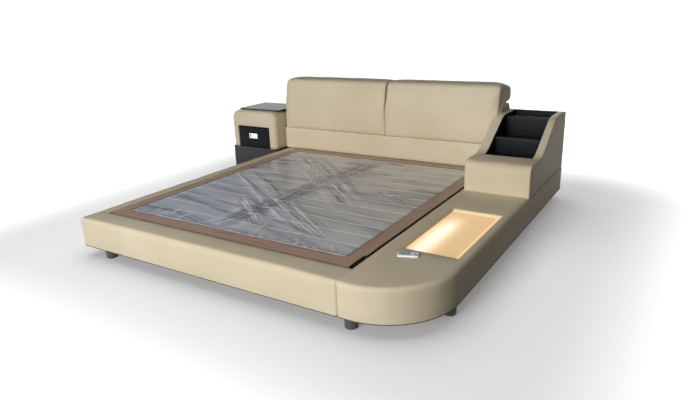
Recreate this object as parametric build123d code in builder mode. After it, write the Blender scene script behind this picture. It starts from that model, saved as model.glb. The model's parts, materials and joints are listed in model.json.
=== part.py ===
"""Upholstered platform bed with a lift-up slatted base, two tilting headrests, a lit side platform,
an open shelf unit and a bedside cabinet. Millimetres, +Z up, the foot end faces -Y, and the origin
lies on the floor under the middle of the whole set."""
from build123d import *
from math import atan2, cos, degrees, hypot, radians, sin
import os

os.makedirs("parts", exist_ok=True)

# Driving sizes of the bed
well_width = 1860
well_length = 2016
rail_width = 85
platform_width = 455
footboard_depth = 155
headboard_depth = 329
deck_height = 260
foot_height = 74
band_overhang = 25
headrest_height = 142
band_top = 452
platform_corner_share = 0.857

# Upholstery and general clearances
padding = 15
top_edge_radius = 18
end_edge_radius = 10
joint_edge_radius = 8
soft_gap = 1
fit_gap = 0.5
touch_gap = 0.3
overrun = 5

# Bedside cabinet
nightstand_width = 522
nightstand_depth = 460
nightstand_gap = 12
nightstand_setback = 5
arch_top = 600
arch_bottom = 262
arch_leg_width = 72
arch_roof = 140
shoulder_radius = 72
arch_front_radius = 40
board = 12
base_board = 18
drawer_gap = 3
drawer_front_wall = 24
drawer_front_setback = 8

# Places along X
set_width = (nightstand_width + nightstand_gap + band_overhang + rail_width
             + well_width + platform_width)
nightstand_left = -set_width / 2
nightstand_right = nightstand_left + nightstand_width
band_left = nightstand_right + nightstand_gap
rail_left = band_left + band_overhang
well_left = rail_left + rail_width
well_right = well_left + well_width
well_middle = (well_left + well_right) / 2
platform_right = well_right + platform_width
platform_corner_radius = platform_width * platform_corner_share

# Places along Y
bed_length = footboard_depth + well_length + headboard_depth
front = -bed_length / 2
well_front = front + footboard_depth
band_front = well_front + well_length
rear = bed_length / 2
nightstand_rear = rear - nightstand_setback
nightstand_front = nightstand_rear - nightstand_depth


def block(x_span, y_span, z_span, mode=Mode.ADD):
    """A box between two places on each axis, in the part that is being built."""
    middle = [(a + b) / 2 for a, b in (x_span, y_span, z_span)]
    size = [b - a for a, b in (x_span, y_span, z_span)]
    with Locations(tuple(middle)):
        Box(*size, mode=mode)


def finish(part, name):
    """Label the piece and write its file."""
    part.part.label = name
    export_step(part.part, f"parts/{name}.step")


# Footboard: a timber box beam in a padded cover that is pulled over it from above
core_bottom = foot_height
core_top = deck_height - padding
core_wall = 22
rib_wall = 30
footboard_bays = 8
footboard_length = well_right - rail_left
footboard_middle = (well_right + rail_left) / 2

with BuildPart() as footboard_cover:
    with BuildSketch(Plane.YZ.offset(rail_left)):
        with BuildLine():
            sides = FilletPolyline((front, foot_height), (front, deck_height),
                                   (well_front, deck_height), (well_front, foot_height),
                                   radius=[top_edge_radius, joint_edge_radius])
            Line(sides @ 1, sides @ 0)
        make_face()
    extrude(amount=footboard_length - soft_gap)
    fillet(footboard_cover.faces().sort_by(Axis.X)[0].edges(), end_edge_radius)
    fillet(footboard_cover.faces().sort_by(Axis.X)[-1].edges(), joint_edge_radius - soft_gap)
    block((rail_left + padding, well_right - padding), (front + padding, well_front - padding),
          (foot_height - overrun, core_top), mode=Mode.SUBTRACT)
finish(footboard_cover, "footboard_cover")

with BuildPart() as footboard_core:
    block((rail_left + padding + fit_gap, well_right - padding - fit_gap),
          (front + padding + fit_gap, well_front - padding - fit_gap), (core_bottom, core_top - fit_gap))
    bay = footboard_length / footboard_bays
    with BuildSketch(Plane.XY.offset(core_bottom)):
        with Locations((footboard_middle, front + footboard_depth / 2)):
            with GridLocations(bay - rib_wall / footboard_bays, 0, footboard_bays, 1):
                Rectangle(bay - 2 * rib_wall, footboard_depth - 2 * padding - 2 * core_wall)
    extrude(amount=core_top - core_bottom - core_wall, mode=Mode.SUBTRACT)
finish(footboard_core, "footboard_core")

# Left side rail: the same make as the footboard
rail_bays = 8
rail_length = well_length
rail_middle = (well_front + band_front) / 2

with BuildPart() as left_rail_cover:
    with BuildSketch(Plane.XZ.offset(-well_front - soft_gap)):
        with BuildLine():
            sides = FilletPolyline((rail_left, foot_height), (rail_left, deck_height),
                                   (well_left, deck_height), (well_left, foot_height),
                                   radius=[top_edge_radius, joint_edge_radius])
            Line(sides @ 1, sides @ 0)
        make_face()
    extrude(amount=-(rail_length - 2 * soft_gap))
    block((rail_left + padding, well_left - padding), (well_front + padding, band_front - padding),
          (foot_height - overrun, core_top), mode=Mode.SUBTRACT)
finish(left_rail_cover, "left_rail_cover")

with BuildPart() as left_rail_core:
    block((rail_left + padding + fit_gap, well_left - padding - fit_gap),
          (well_front + padding + fit_gap, band_front - padding - fit_gap),
          (core_bottom, core_top - fit_gap))
    bay = rail_length / rail_bays
    with BuildSketch(Plane.XY.offset(core_bottom)):
        with Locations(((rail_left + well_left) / 2, rail_middle)):
            with GridLocations(0, bay - rib_wall / rail_bays, 1, rail_bays):
                Rectangle(rail_width - 2 * padding - core_wall, bay - rib_wall)
    extrude(amount=core_top - core_bottom - core_wall, mode=Mode.SUBTRACT)
finish(left_rail_core, "left_rail_core")

# Lit recess in the side platform
recess_inset = 97
recess_outer_inset = 53
recess_start = 496
recess_length = 695
recess_depth = 52
tray_wall = 4
recess_left = well_right + recess_inset
recess_right = platform_right - recess_outer_inset
recess_front = front + recess_start
recess_rear = recess_front + recess_length
tray_floor = deck_height - recess_depth
panel_drop = 12
panel_wall = 6
panel_bottom = deck_height - panel_drop - panel_wall
tray_bed = 16
bay_roof = tray_floor - tray_wall - tray_bed
driver_width = 60
driver_length = 180
driver_height = 32

# Side platform: one wrap from the foot end to the head end, round at its outer front corner
platform_bays = 9
platform_bays_middle = (front + platform_corner_radius + rear) / 2
platform_bay_pitch = (bed_length - platform_corner_radius - rib_wall) / platform_bays
driver_bay = 1


def platform_outline(inset):
    """The platform's plan, drawn in on every side, round at the outer front corner."""
    corner = platform_corner_radius - inset
    left, right = well_right + inset, platform_right - inset
    near, far = front + inset, rear - inset
    with BuildLine() as plan:
        Polyline((right, near + corner), (right, far), (left, far), (left, near), (right - corner, near))
        RadiusArc((right - corner, near), (right, near + corner), -corner)
    make_face(plan.edges())


with BuildPart() as platform_cover:
    with BuildSketch(Plane.XY.offset(foot_height)):
        platform_outline(0)
    extrude(amount=deck_height - foot_height)
    rim = platform_cover.faces().sort_by(Axis.Z)[-1].edges()
    inner_rim = rim.sort_by(Axis.X)[0]
    fillet([edge for edge in rim if edge != inner_rim], top_edge_radius)
    fillet(platform_cover.edges().filter_by(Axis.Z).group_by(Axis.Y)[0].sort_by(Axis.X)[0], joint_edge_radius)
    with BuildSketch(Plane.XY.offset(foot_height)):
        platform_outline(padding)
    extrude(amount=core_top - foot_height, mode=Mode.SUBTRACT)
    block((recess_left, recess_right), (recess_front, recess_rear),
          (core_top - overrun, deck_height + overrun), mode=Mode.SUBTRACT)
finish(platform_cover, "platform_cover")

with BuildPart() as platform_core:
    with BuildSketch(Plane.XY.offset(core_bottom)):
        platform_outline(padding + fit_gap)
    extrude(amount=core_top - fit_gap - core_bottom)
    with BuildSketch(Plane.XY.offset(core_bottom)):
        with Locations(((well_right + platform_right) / 2, platform_bays_middle)):
            with GridLocations(0, platform_bay_pitch, 1, platform_bays):
                Rectangle(platform_width - 2 * padding - 2 * core_wall, platform_bay_pitch - rib_wall)
    extrude(amount=bay_roof - core_bottom, mode=Mode.SUBTRACT)
    block((recess_left - fit_gap, recess_right + fit_gap), (recess_front - fit_gap, recess_rear + fit_gap),
          (tray_floor - tray_wall - fit_gap, core_top + overrun), mode=Mode.SUBTRACT)
finish(platform_core, "platform_core")

with BuildPart() as light_tray:
    block((recess_left, recess_right), (recess_front, recess_rear),
          (tray_floor - tray_wall, panel_bottom))
    block((recess_left + tray_wall, recess_right - tray_wall),
          (recess_front + tray_wall, recess_rear - tray_wall),
          (tray_floor, deck_height + overrun), mode=Mode.SUBTRACT)
finish(light_tray, "light_tray")

# Light strip on the tray's inner wall, and the frosted panel that lies on the tray's rim above it
strip_wall = 3
strip_height = 12
strip_lift = 12
strip_inset = 30
strip_share = 0.72
strip_front = recess_front + tray_wall + strip_inset
strip_rear = strip_front + (recess_length - 2 * tray_wall - 2 * strip_inset) * strip_share

with BuildPart() as led_strip:
    block((recess_left + tray_wall, recess_left + tray_wall + strip_wall), (strip_front, strip_rear),
          (tray_floor + strip_lift, tray_floor + strip_lift + strip_height))
finish(led_strip, "led_strip")

with BuildPart() as light_panel:
    block((recess_left + fit_gap, recess_right - fit_gap), (recess_front + fit_gap, recess_rear - fit_gap),
          (panel_bottom, panel_bottom + panel_wall))
finish(light_panel, "light_panel")

driver_x = (recess_left + recess_right) / 2
driver_y = platform_bays_middle + (driver_bay - (platform_bays - 1) / 2) * platform_bay_pitch
driver_top = bay_roof - touch_gap
with BuildPart() as led_driver:
    block((driver_x - driver_width / 2, driver_x + driver_width / 2),
          (driver_y - driver_length / 2, driver_y + driver_length / 2),
          (driver_top - driver_height, driver_top))
finish(led_driver, "led_driver")

# Open shelf unit on the platform: a sloped box with three bins, timber inside, padded outside
shelf_length = 923
shelf_inset = 15
shelf_front_height = 213
shelf_height = 422
shelf_flat = 253
shelf_plateau = 608
shelf_front_radius = 52
shelf_foot_radius = 240
shelf_head_radius = 214
shelf_rear_radius = 16
shelf_left_wall = 64
shelf_right_wall = 47
shelf_front_wall = 209
shelf_rear_wall = 22
shelf_skin = 14
shelf_floor = 30
liner_floor = deck_height + shelf_floor
liner_wall = 5
liner_drop = 2
divider_wall = 18
divider_edge_radius = 6
divider_places = (214, 459)
divider_drops = (14, 15)
shelf_left = well_right + shelf_inset
shelf_front = rear - shelf_length
shelf_bottom = deck_height + touch_gap
bin_left = shelf_left + shelf_left_wall
bin_right = platform_right - shelf_right_wall
bin_front = shelf_front + shelf_front_wall
bin_rear = rear - shelf_rear_wall
shelf_slope_rise = shelf_height - shelf_front_height
shelf_slope_run = shelf_plateau - shelf_flat


def shelf_profile(inset, drop=0):
    """Side view of the shelf unit, drawn in at its front, top and back."""
    low = deck_height + shelf_front_height - inset - drop
    high = deck_height + shelf_height - inset - drop
    near, far = shelf_front + inset, rear - inset
    with BuildLine() as profile:
        sides = FilletPolyline(
            (near, shelf_bottom), (near, low), (shelf_front + shelf_flat, low),
            (shelf_front + shelf_plateau, high), (far, high), (far, shelf_bottom),
            radius=[shelf_front_radius - inset, shelf_foot_radius, shelf_head_radius, shelf_rear_radius])
        Line(sides @ 1, sides @ 0)
    make_face(profile.edges())


with BuildPart() as shelf_cover:
    with BuildSketch(Plane.YZ.offset(shelf_left)):
        shelf_profile(0)
    extrude(amount=platform_right - shelf_left)
    fillet(shelf_cover.faces().sort_by(Axis.X)[-1].edges().sort_by(Axis.Z)[1:], joint_edge_radius)
    fillet(shelf_cover.faces().sort_by(Axis.X)[0].edges().sort_by(Axis.Z)[1:], joint_edge_radius)
    with BuildSketch(Plane.YZ.offset(shelf_left + shelf_skin)):
        shelf_profile(shelf_skin)
    extrude(amount=platform_right - shelf_left - 2 * shelf_skin, mode=Mode.SUBTRACT)
    block((bin_left, bin_right), (bin_front, bin_rear),
          (shelf_bottom + shelf_skin, deck_height + shelf_height + overrun), mode=Mode.SUBTRACT)
finish(shelf_cover, "shelf_cover")

with BuildPart() as shelf_carcass:
    with BuildSketch(Plane.YZ.offset(shelf_left + shelf_skin + fit_gap)):
        shelf_profile(shelf_skin + fit_gap)
    extrude(amount=platform_right - shelf_left - 2 * (shelf_skin + fit_gap))
    block((bin_left - fit_gap, bin_right + fit_gap), (bin_front - fit_gap, rear),
          (liner_floor - fit_gap, deck_height + shelf_height + overrun), mode=Mode.SUBTRACT)
    block((bin_left, bin_right), (shelf_front + 2 * shelf_skin + core_wall, bin_front - core_wall),
          (shelf_bottom - overrun, deck_height + shelf_front_height - shelf_skin - core_wall),
          mode=Mode.SUBTRACT)
finish(shelf_carcass, "shelf_carcass")

with BuildPart() as shelf_liner:
    with BuildSketch(Plane.YZ.offset(bin_left + touch_gap)):
        shelf_profile(0, liner_drop)
    extrude(amount=bin_right - bin_left - 2 * touch_gap)
    block((bin_left, bin_right), (bin_front + touch_gap, bin_rear - touch_gap),
          (liner_floor, deck_height + shelf_height), mode=Mode.INTERSECT)
    block((bin_left + liner_wall, bin_right - liner_wall), (bin_front + liner_wall, bin_rear - liner_wall),
          (liner_floor + liner_wall, deck_height + shelf_height + overrun), mode=Mode.SUBTRACT)
finish(shelf_liner, "shelf_liner")


def rim_height(place):
    """Height of the shelf unit's sloping rim at a distance behind its front."""
    climb = (place - shelf_flat) / shelf_slope_run
    return deck_height + shelf_front_height + shelf_slope_rise * min(max(climb, 0), 1)


with BuildPart() as shelf_dividers:
    for place, drop in zip(divider_places, divider_drops):
        middle = bin_front + place
        top = rim_height(middle - shelf_front) - drop
        with BuildSketch(Plane.YZ.offset(bin_left + liner_wall + touch_gap)):
            with BuildLine():
                sides = FilletPolyline(
                    (middle - divider_wall / 2, liner_floor + liner_wall + touch_gap),
                    (middle - divider_wall / 2, top), (middle + divider_wall / 2, top),
                    (middle + divider_wall / 2, liner_floor + liner_wall + touch_gap),
                    radius=[divider_edge_radius, divider_edge_radius])
                Line(sides @ 1, sides @ 0)
            make_face()
        extrude(amount=bin_right - bin_left - 2 * (liner_wall + touch_gap))
finish(shelf_dividers, "shelf_dividers")

# Bolts that tie the bedside cabinet's base to the headboard frame
tie_radius = 4
tie_head_radius = 8
tie_head = 6
tie_height = 190
tie_gap = 0.5
tie_places = (band_front + headboard_depth / 3, band_front + 2 * headboard_depth / 3)


def tie_holes(start, length):
    """Clear holes along X for the tie bolts."""
    for y in tie_places:
        with BuildSketch(Plane.YZ.offset(start)) as hole:
            with Locations((y, tie_height)):
                Circle(tie_radius + tie_gap)
        extrude(hole.sketch, amount=length, mode=Mode.SUBTRACT)


# Headboard: a boxed timber frame, a padded band round its foot, and two padded backs above it
split_gap = 1.5
hinge_height = 756
split_low = hinge_height - split_gap / 2
split_high = hinge_height + split_gap / 2
band_bottom = deck_height + 2 * soft_gap
pad_bottom = band_top + 2 * soft_gap
pad_height = split_low - pad_bottom
headboard_top = split_high + headrest_height
knuckle_radius = 6
hinge_setback = 31
hinge_y = band_front + hinge_setback
frame_front = hinge_y + knuckle_radius + touch_gap
frame_rear = rear - padding - soft_gap
frame_drop = 36
frame_top = hinge_height - frame_drop
frame_left = band_left + padding + soft_gap + end_edge_radius
frame_right = well_right - soft_gap - fit_gap
frame_bays = 6
frame_panel = 18
end_rounding = 62
end_inset = 22
seam_rounding = 16
seam_inset = 7
band_inset = 5
pad_overhang = 25
seam_offset = 9
seam_x = well_middle + seam_offset
cushion_end_shares = ((0, 1), (0.07, 0.52), (0.3, 0.15), (0.65, 0.02), (1, 0))
pad_outline_shares = ((0.018, 0), (-0.015, 0.35), (0.002, 0.78), (0.075, 1), (0.61, 0.985),
                      (0.894, 0.932), (0.994, 0.8), (0.994, 0))
headrest_outline_shares = ((0.085, 0), (0.1, 0.45), (0.15, 0.97), (0.505, 1), (1, 0.77),
                           (1, 0.2), (0.909, 0.037), (0.61, 0))
pad_radius_shares = (0.02, 1.33, 0.66, 0.04, 0.066, 0.04, 0.066, 0.013)
headrest_radius_shares = (0.07, 1.05, 0.29, 2.1, 0.175, 0.14, 0.05, 0.14)
band_radii = [6, 9, 6, 4]


def outline_points(shares, depth, bottom, height):
    """An outline in the YZ plane from shares of a depth behind the band's face and of a height."""
    return [(band_front + a * depth, bottom + b * height) for a, b in shares]


def drawn_in(points, inset):
    """The same outline moved in by an inset on every side of its own box."""
    centre, scale = [], []
    for values in zip(*points):
        centre.append((max(values) + min(values)) / 2)
        scale.append(1 - 2 * inset / (max(values) - min(values)))
    return [tuple(c + s * (v - c) for v, c, s in zip(point, centre, scale)) for point in points]


def cushion(points, radius_shares, height, outer_x, inner_x, outer_inset):
    """A cushion lofted along X, its corners drawn in at the outer end and at the middle seam."""
    inward = 1 if inner_x > outer_x else -1
    places = [(outer_x + inward * end_rounding * a, outer_inset * b) for a, b in cushion_end_shares]
    places += [(inner_x - inward * seam_rounding * a, seam_inset * b)
               for a, b in reversed(cushion_end_shares)]
    sections = []
    for x, inset in places:
        reach = min(height, headboard_depth) * (height - 2 * inset) / height
        with BuildSketch(Plane.YZ.offset(x)) as section:
            with BuildLine():
                FilletPolyline(*drawn_in(points, inset), radius=[share * reach for share in radius_shares],
                               close=True)
            make_face()
        sections.append(section.sketch)
    loft(sections, ruled=True)


with BuildPart() as headboard_frame:
    block((frame_left, frame_right), (frame_front, frame_rear), (core_bottom, frame_top))
    frame_bay = (frame_right - frame_left) / frame_bays
    with BuildSketch(Plane.XY.offset(core_bottom + frame_panel)):
        with Locations(((frame_left + frame_right) / 2, (frame_front + frame_rear) / 2)):
            with GridLocations(frame_bay - rib_wall / frame_bays, 0, frame_bays, 1):
                Rectangle(frame_bay - rib_wall, frame_rear - frame_front - 2 * frame_panel)
    extrude(amount=frame_top - core_bottom - 2 * frame_panel, mode=Mode.SUBTRACT)
    tie_holes(frame_left - overrun, frame_panel + 2 * overrun)
finish(headboard_frame, "headboard_frame")

band_points = outline_points(((0, 0), (0, 1), (1, 1), (1, 0)), headboard_depth, band_bottom,
                             band_top - band_bottom)
with BuildPart() as headboard_base_band:
    for x, inset in ((band_left, band_inset), (band_left + end_edge_radius, 0),
                     (shelf_left - soft_gap - end_edge_radius, 0), (shelf_left - soft_gap, band_inset)):
        with BuildSketch(Plane.YZ.offset(x)):
            with BuildLine():
                FilletPolyline(*drawn_in(band_points, inset), radius=band_radii, close=True)
            make_face()
    loft(ruled=True)
    block((frame_left - fit_gap, frame_right + fit_gap), (frame_front - fit_gap, frame_rear + fit_gap),
          (band_bottom - overrun, band_top + overrun), mode=Mode.SUBTRACT)
finish(headboard_base_band, "headboard_base_band")

# Hinges of the headrests: two for each headrest, a vertical leaf below and a flat leaf above
headrest_hinge_width = 60
headrest_hinge_inset = 210
leaf_wall = 3
lower_leaf_height = 58
upper_leaf_depth = 72
headrest_pin_radius = 2.5
pin_gap = 0.08
knuckle_gap = 0.6
slot_gap = 1.5
left_span = (band_left, seam_x - soft_gap)
right_span = (seam_x + soft_gap, shelf_left + pad_overhang)
left_hinges = (left_span[0] + headrest_hinge_inset, left_span[1] - headrest_hinge_inset)
right_hinges = (right_span[0] + headrest_hinge_inset, right_span[1] - headrest_hinge_inset)
pad_points = outline_points(pad_outline_shares, headboard_depth, pad_bottom, pad_height)
headrest_points = outline_points(headrest_outline_shares, headboard_depth, split_high, headrest_height)


def back_pad(outer_x, inner_x, hinges):
    """A padded back with a hollow for the frame and a pocket at each hinge."""
    cushion(pad_points, pad_radius_shares, pad_height, outer_x, inner_x, end_inset)
    hollow = sorted((inner_x + overrun * (1 if inner_x > outer_x else -1),
                     frame_left - fit_gap if inner_x > outer_x else frame_right + fit_gap))
    block(hollow, (frame_front - leaf_wall - 2 * touch_gap, frame_rear + fit_gap),
          (pad_bottom - overrun, frame_top + fit_gap), mode=Mode.SUBTRACT)
    for x in hinges:
        block((x - headrest_hinge_width / 2 - slot_gap, x + headrest_hinge_width / 2 + slot_gap),
              (hinge_y - knuckle_radius - slot_gap, frame_front + slot_gap),
              (frame_top - overrun, split_high), mode=Mode.SUBTRACT)


with BuildPart() as left_back_pad:
    back_pad(left_span[0], left_span[1], left_hinges)
finish(left_back_pad, "left_back_pad")

with BuildPart() as right_back_pad:
    back_pad(right_span[1], right_span[0], right_hinges)
    block((shelf_left - soft_gap, right_span[1] + overrun), (band_front - padding, rear + overrun),
          (pad_bottom - overrun, deck_height + shelf_height + soft_gap), mode=Mode.SUBTRACT)
finish(right_back_pad, "right_back_pad")

headrest_board_wall = 30
headrest_board_inset = 90
headrest_board_setback = 44
headrest_board_drop = 38
upper_leaf_bottom = hinge_height + knuckle_radius - leaf_wall
headrest_board_bottom = hinge_height + knuckle_radius + touch_gap
headrest_board_top = headboard_top - headrest_board_drop
headrest_board_front = hinge_y + headrest_board_setback
upper_leaf_rear = hinge_y + upper_leaf_depth


def headrest_board(span, gap=0, mode=Mode.ADD):
    """The panel inside a headrest, or the hollow that it fits."""
    block((span[0] + headrest_board_inset - gap, span[1] - headrest_board_inset + gap),
          (headrest_board_front - gap, headrest_board_front + headrest_board_wall + gap),
          (headrest_board_bottom - gap, headrest_board_top + gap), mode=mode)


def headrest_cushion(outer_x, inner_x, hinges):
    """A headrest's padding with hollows for its panel and its hinge leaves."""
    cushion(headrest_points, headrest_radius_shares, headrest_height, outer_x, inner_x, end_inset)
    headrest_board(sorted((outer_x, inner_x)), touch_gap, Mode.SUBTRACT)
    for x in hinges:
        block((x - headrest_hinge_width / 2 - slot_gap, x + headrest_hinge_width / 2 + slot_gap),
              (hinge_y - knuckle_radius - slot_gap, upper_leaf_rear + slot_gap),
              (split_low, hinge_height + knuckle_radius + slot_gap), mode=Mode.SUBTRACT)


with BuildPart() as left_headrest_cushion:
    headrest_cushion(left_span[0], left_span[1], left_hinges)
finish(left_headrest_cushion, "left_headrest_cushion")

with BuildPart() as right_headrest_cushion:
    headrest_cushion(right_span[1], right_span[0], right_hinges)
finish(right_headrest_cushion, "right_headrest_cushion")

with BuildPart() as left_headrest_board:
    headrest_board(left_span)
finish(left_headrest_board, "left_headrest_board")

with BuildPart() as right_headrest_board:
    headrest_board(right_span)
finish(right_headrest_board, "right_headrest_board")


def knuckle(x, x_span_shares, width, y, z, radius):
    """A hinge barrel along X over part of a hinge's width."""
    start = x + width * x_span_shares[0]
    with BuildSketch(Plane.YZ.offset(start)) as barrel:
        with Locations((y, z)):
            Circle(radius)
    extrude(barrel.sketch, amount=width * (x_span_shares[1] - x_span_shares[0]))


def pin_bore(x, width, y, z, radius):
    """The hole for a hinge pin through all barrels of a hinge."""
    with BuildSketch(Plane.YZ.offset(x - width / 2 - overrun)) as bore:
        with Locations((y, z)):
            Circle(radius)
    extrude(bore.sketch, amount=width + 2 * overrun, mode=Mode.SUBTRACT)


outer_barrel_shares = ((-0.5, -0.25), (0.25, 0.5))
inner_barrel_shares = (-0.24, 0.24)
inner_clear_shares = (-0.25, 0.25)
full_barrel_shares = (-0.5, 0.5)

with BuildPart() as headrest_lower_leaves:
    for x in left_hinges + right_hinges:
        block((x - headrest_hinge_width / 2, x + headrest_hinge_width / 2),
              (hinge_y + knuckle_radius - leaf_wall, hinge_y + knuckle_radius),
              (hinge_height - lower_leaf_height, hinge_height))
        for shares in outer_barrel_shares:
            knuckle(x, shares, headrest_hinge_width, hinge_y, hinge_height, knuckle_radius)
        block([x + headrest_hinge_width * share for share in inner_clear_shares],
              (hinge_y - knuckle_radius, hinge_y + knuckle_radius + overrun),
              (hinge_height - knuckle_radius - knuckle_gap, hinge_height + knuckle_radius),
              mode=Mode.SUBTRACT)
        pin_bore(x, headrest_hinge_width, hinge_y, hinge_height, headrest_pin_radius)
finish(headrest_lower_leaves, "headrest_lower_leaves")


def upper_leaves(hinges):
    """The flat leaves under a headrest's panel, each with one barrel between the lower leaf's two."""
    for x in hinges:
        block((x - headrest_hinge_width / 2, x + headrest_hinge_width / 2),
              (hinge_y + knuckle_radius + knuckle_gap, upper_leaf_rear),
              (upper_leaf_bottom, upper_leaf_bottom + leaf_wall))
        block([x + headrest_hinge_width * share for share in inner_barrel_shares],
              (hinge_y, hinge_y + knuckle_radius + 2 * knuckle_gap),
              (upper_leaf_bottom, upper_leaf_bottom + leaf_wall))
        knuckle(x, inner_barrel_shares, headrest_hinge_width, hinge_y, hinge_height, knuckle_radius)
        pin_bore(x, headrest_hinge_width, hinge_y, hinge_height, headrest_pin_radius + pin_gap)


with BuildPart() as left_headrest_leaves:
    upper_leaves(left_hinges)
finish(left_headrest_leaves, "left_headrest_leaves")

with BuildPart() as right_headrest_leaves:
    upper_leaves(right_hinges)
finish(right_headrest_leaves, "right_headrest_leaves")

with BuildPart() as headrest_hinge_pins:
    for x in left_hinges + right_hinges:
        knuckle(x, full_barrel_shares, headrest_hinge_width, hinge_y, hinge_height, headrest_pin_radius)
finish(headrest_hinge_pins, "headrest_hinge_pins")

# Lift-up slatted base: a timber border, bowed slats in end caps, a spar below and a clear dust film
base_side_gap = 14
base_foot_gap = 6
base_head_gap = 21
border_width = 86
border_height = 40
border_proud = 4
relief_length = 150
relief_depth = 13
slat_count = 13
slat_width = 112
slat_wall = 12
slat_bow = 5
slat_drop = 7
cap_wall = 6
cap_length = 34
cap_clearance = 0.5
cap_top_clearance = 1
spar_width = 60
spar_height = 36
film_wall = 0.6
film_margin = 10
base_top = deck_height + border_proud
base_bottom = base_top - border_height
base_left = well_left + base_side_gap
base_right = well_right - base_side_gap
base_front = well_front + base_foot_gap
base_rear = band_front - base_head_gap
bay_left = base_left + border_width
bay_right = base_right - border_width
bay_front = base_front + border_width
bay_rear = base_rear - border_width
slat_end_top = base_top - slat_drop
slat_pitch = (bay_rear - bay_front) / slat_count
slat_places = [bay_front + slat_pitch * (i + 0.5) for i in range(slat_count)]
slat_start = bay_left + cap_wall + cap_clearance
slat_end = bay_right - cap_wall - cap_clearance

with BuildPart() as base_side_borders:
    for x_span, relief in (((base_left, bay_left), (base_left - overrun, base_left + relief_depth)),
                           ((bay_right, base_right), (base_right - relief_depth, base_right + overrun))):
        block(x_span, (base_front, base_rear), (base_bottom, base_top))
        for y_span in ((base_front - overrun, base_front + relief_length),
                       (base_rear - relief_length, base_rear + overrun)):
            block(relief, y_span, (base_bottom - overrun, base_top + overrun), mode=Mode.SUBTRACT)
finish(base_side_borders, "base_side_borders")

with BuildPart() as base_end_borders:
    for y_span in ((base_front, bay_front), (bay_rear, base_rear)):
        block((bay_left, bay_right), y_span, (base_bottom, base_top))
finish(base_end_borders, "base_end_borders")

with BuildPart() as base_slats:
    for place in slat_places:
        with BuildSketch(Plane.XZ.offset(-(place - slat_width / 2))):
            with BuildLine():
                top = ThreePointArc((slat_start, slat_end_top), (well_middle, slat_end_top + slat_bow),
                                    (slat_end, slat_end_top))
                low = ThreePointArc((slat_start, slat_end_top - slat_wall),
                                    (well_middle, slat_end_top - slat_wall + slat_bow),
                                    (slat_end, slat_end_top - slat_wall))
                Line(top @ 0, low @ 0)
                Line(top @ 1, low @ 1)
            make_face()
        extrude(amount=-slat_width)
finish(base_slats, "base_slats")

with BuildPart() as slat_caps:
    for place in slat_places:
        for x_span in ((bay_left + touch_gap, bay_left + cap_length),
                       (bay_right - cap_length, bay_right - touch_gap)):
            block(x_span, (place - slat_width / 2 - cap_wall, place + slat_width / 2 + cap_wall),
                  (slat_end_top - slat_wall - cap_wall, slat_end_top + cap_wall / 2))
    for place in slat_places:
        block((slat_start - cap_clearance, slat_end + cap_clearance),
              (place - slat_width / 2 - cap_clearance, place + slat_width / 2 + cap_clearance),
              (slat_end_top - slat_wall - cap_clearance, slat_end_top + cap_top_clearance),
              mode=Mode.SUBTRACT)
finish(slat_caps, "slat_caps")

spar_top = slat_end_top - slat_wall + slat_bow - touch_gap
with BuildPart() as base_spar:
    block((well_middle - spar_width / 2, well_middle + spar_width / 2), (bay_front, bay_rear),
          (spar_top - spar_height, spar_top))
finish(base_spar, "base_spar")

film_bottom = slat_end_top + slat_bow + touch_gap
with BuildPart() as dust_film:
    block((bay_left + film_margin / 2, bay_right - film_margin / 2),
          (bay_front + film_margin / 2, bay_rear - film_margin / 2), (film_bottom, film_bottom + film_wall))
finish(dust_film, "dust_film")

# Lift hinges between the base's head end and the cross rail on the headboard
lift_radius = 6
lift_pin_radius = 3
lift_setback = 11
lift_drop = 9
lift_axis_y = band_front - lift_setback
lift_axis_z = base_top - lift_drop
lift_width = 90
lift_shares = (0.12, 0.5, 0.88)
lift_places = [bay_left + (bay_right - bay_left) * share for share in lift_shares]
lift_leaf_height = 70
crossrail_depth = frame_front - fit_gap - band_front
crossrail_height = 156
crossrail_bottom = deck_height - crossrail_height

with BuildPart() as head_crossrail:
    block((well_left + soft_gap, well_right - soft_gap), (band_front, band_front + crossrail_depth),
          (crossrail_bottom, deck_height))
finish(head_crossrail, "head_crossrail")

with BuildPart() as lift_fixed_leaves:
    for x in lift_places:
        block((x - lift_width / 2, x + lift_width / 2), (band_front - leaf_wall, band_front),
              (lift_axis_z - lift_leaf_height, lift_axis_z))
        for shares in outer_barrel_shares:
            block([x + lift_width * share for share in shares],
                  (lift_axis_y, band_front), (lift_axis_z - leaf_wall, lift_axis_z))
            knuckle(x, shares, lift_width, lift_axis_y, lift_axis_z, lift_radius)
        pin_bore(x, lift_width, lift_axis_y, lift_axis_z, lift_pin_radius)
finish(lift_fixed_leaves, "lift_fixed_leaves")

with BuildPart() as lift_moving_leaves:
    for x in lift_places:
        block((x - lift_width / 2, x + lift_width / 2), (base_rear, base_rear + leaf_wall),
              (base_bottom, lift_axis_z - lift_radius - knuckle_gap))
        block([x + lift_width * share for share in inner_barrel_shares],
              (base_rear, base_rear + leaf_wall), (base_bottom, lift_axis_z))
        block([x + lift_width * share for share in inner_barrel_shares],
              (base_rear, lift_axis_y), (lift_axis_z - leaf_wall, lift_axis_z))
        knuckle(x, inner_barrel_shares, lift_width, lift_axis_y, lift_axis_z, lift_radius)
        pin_bore(x, lift_width, lift_axis_y, lift_axis_z, lift_pin_radius + pin_gap)
finish(lift_moving_leaves, "lift_moving_leaves")

with BuildPart() as lift_hinge_pins:
    for x in lift_places:
        knuckle(x, full_barrel_shares, lift_width, lift_axis_y, lift_axis_z, lift_pin_radius)
finish(lift_hinge_pins, "lift_hinge_pins")

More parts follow.
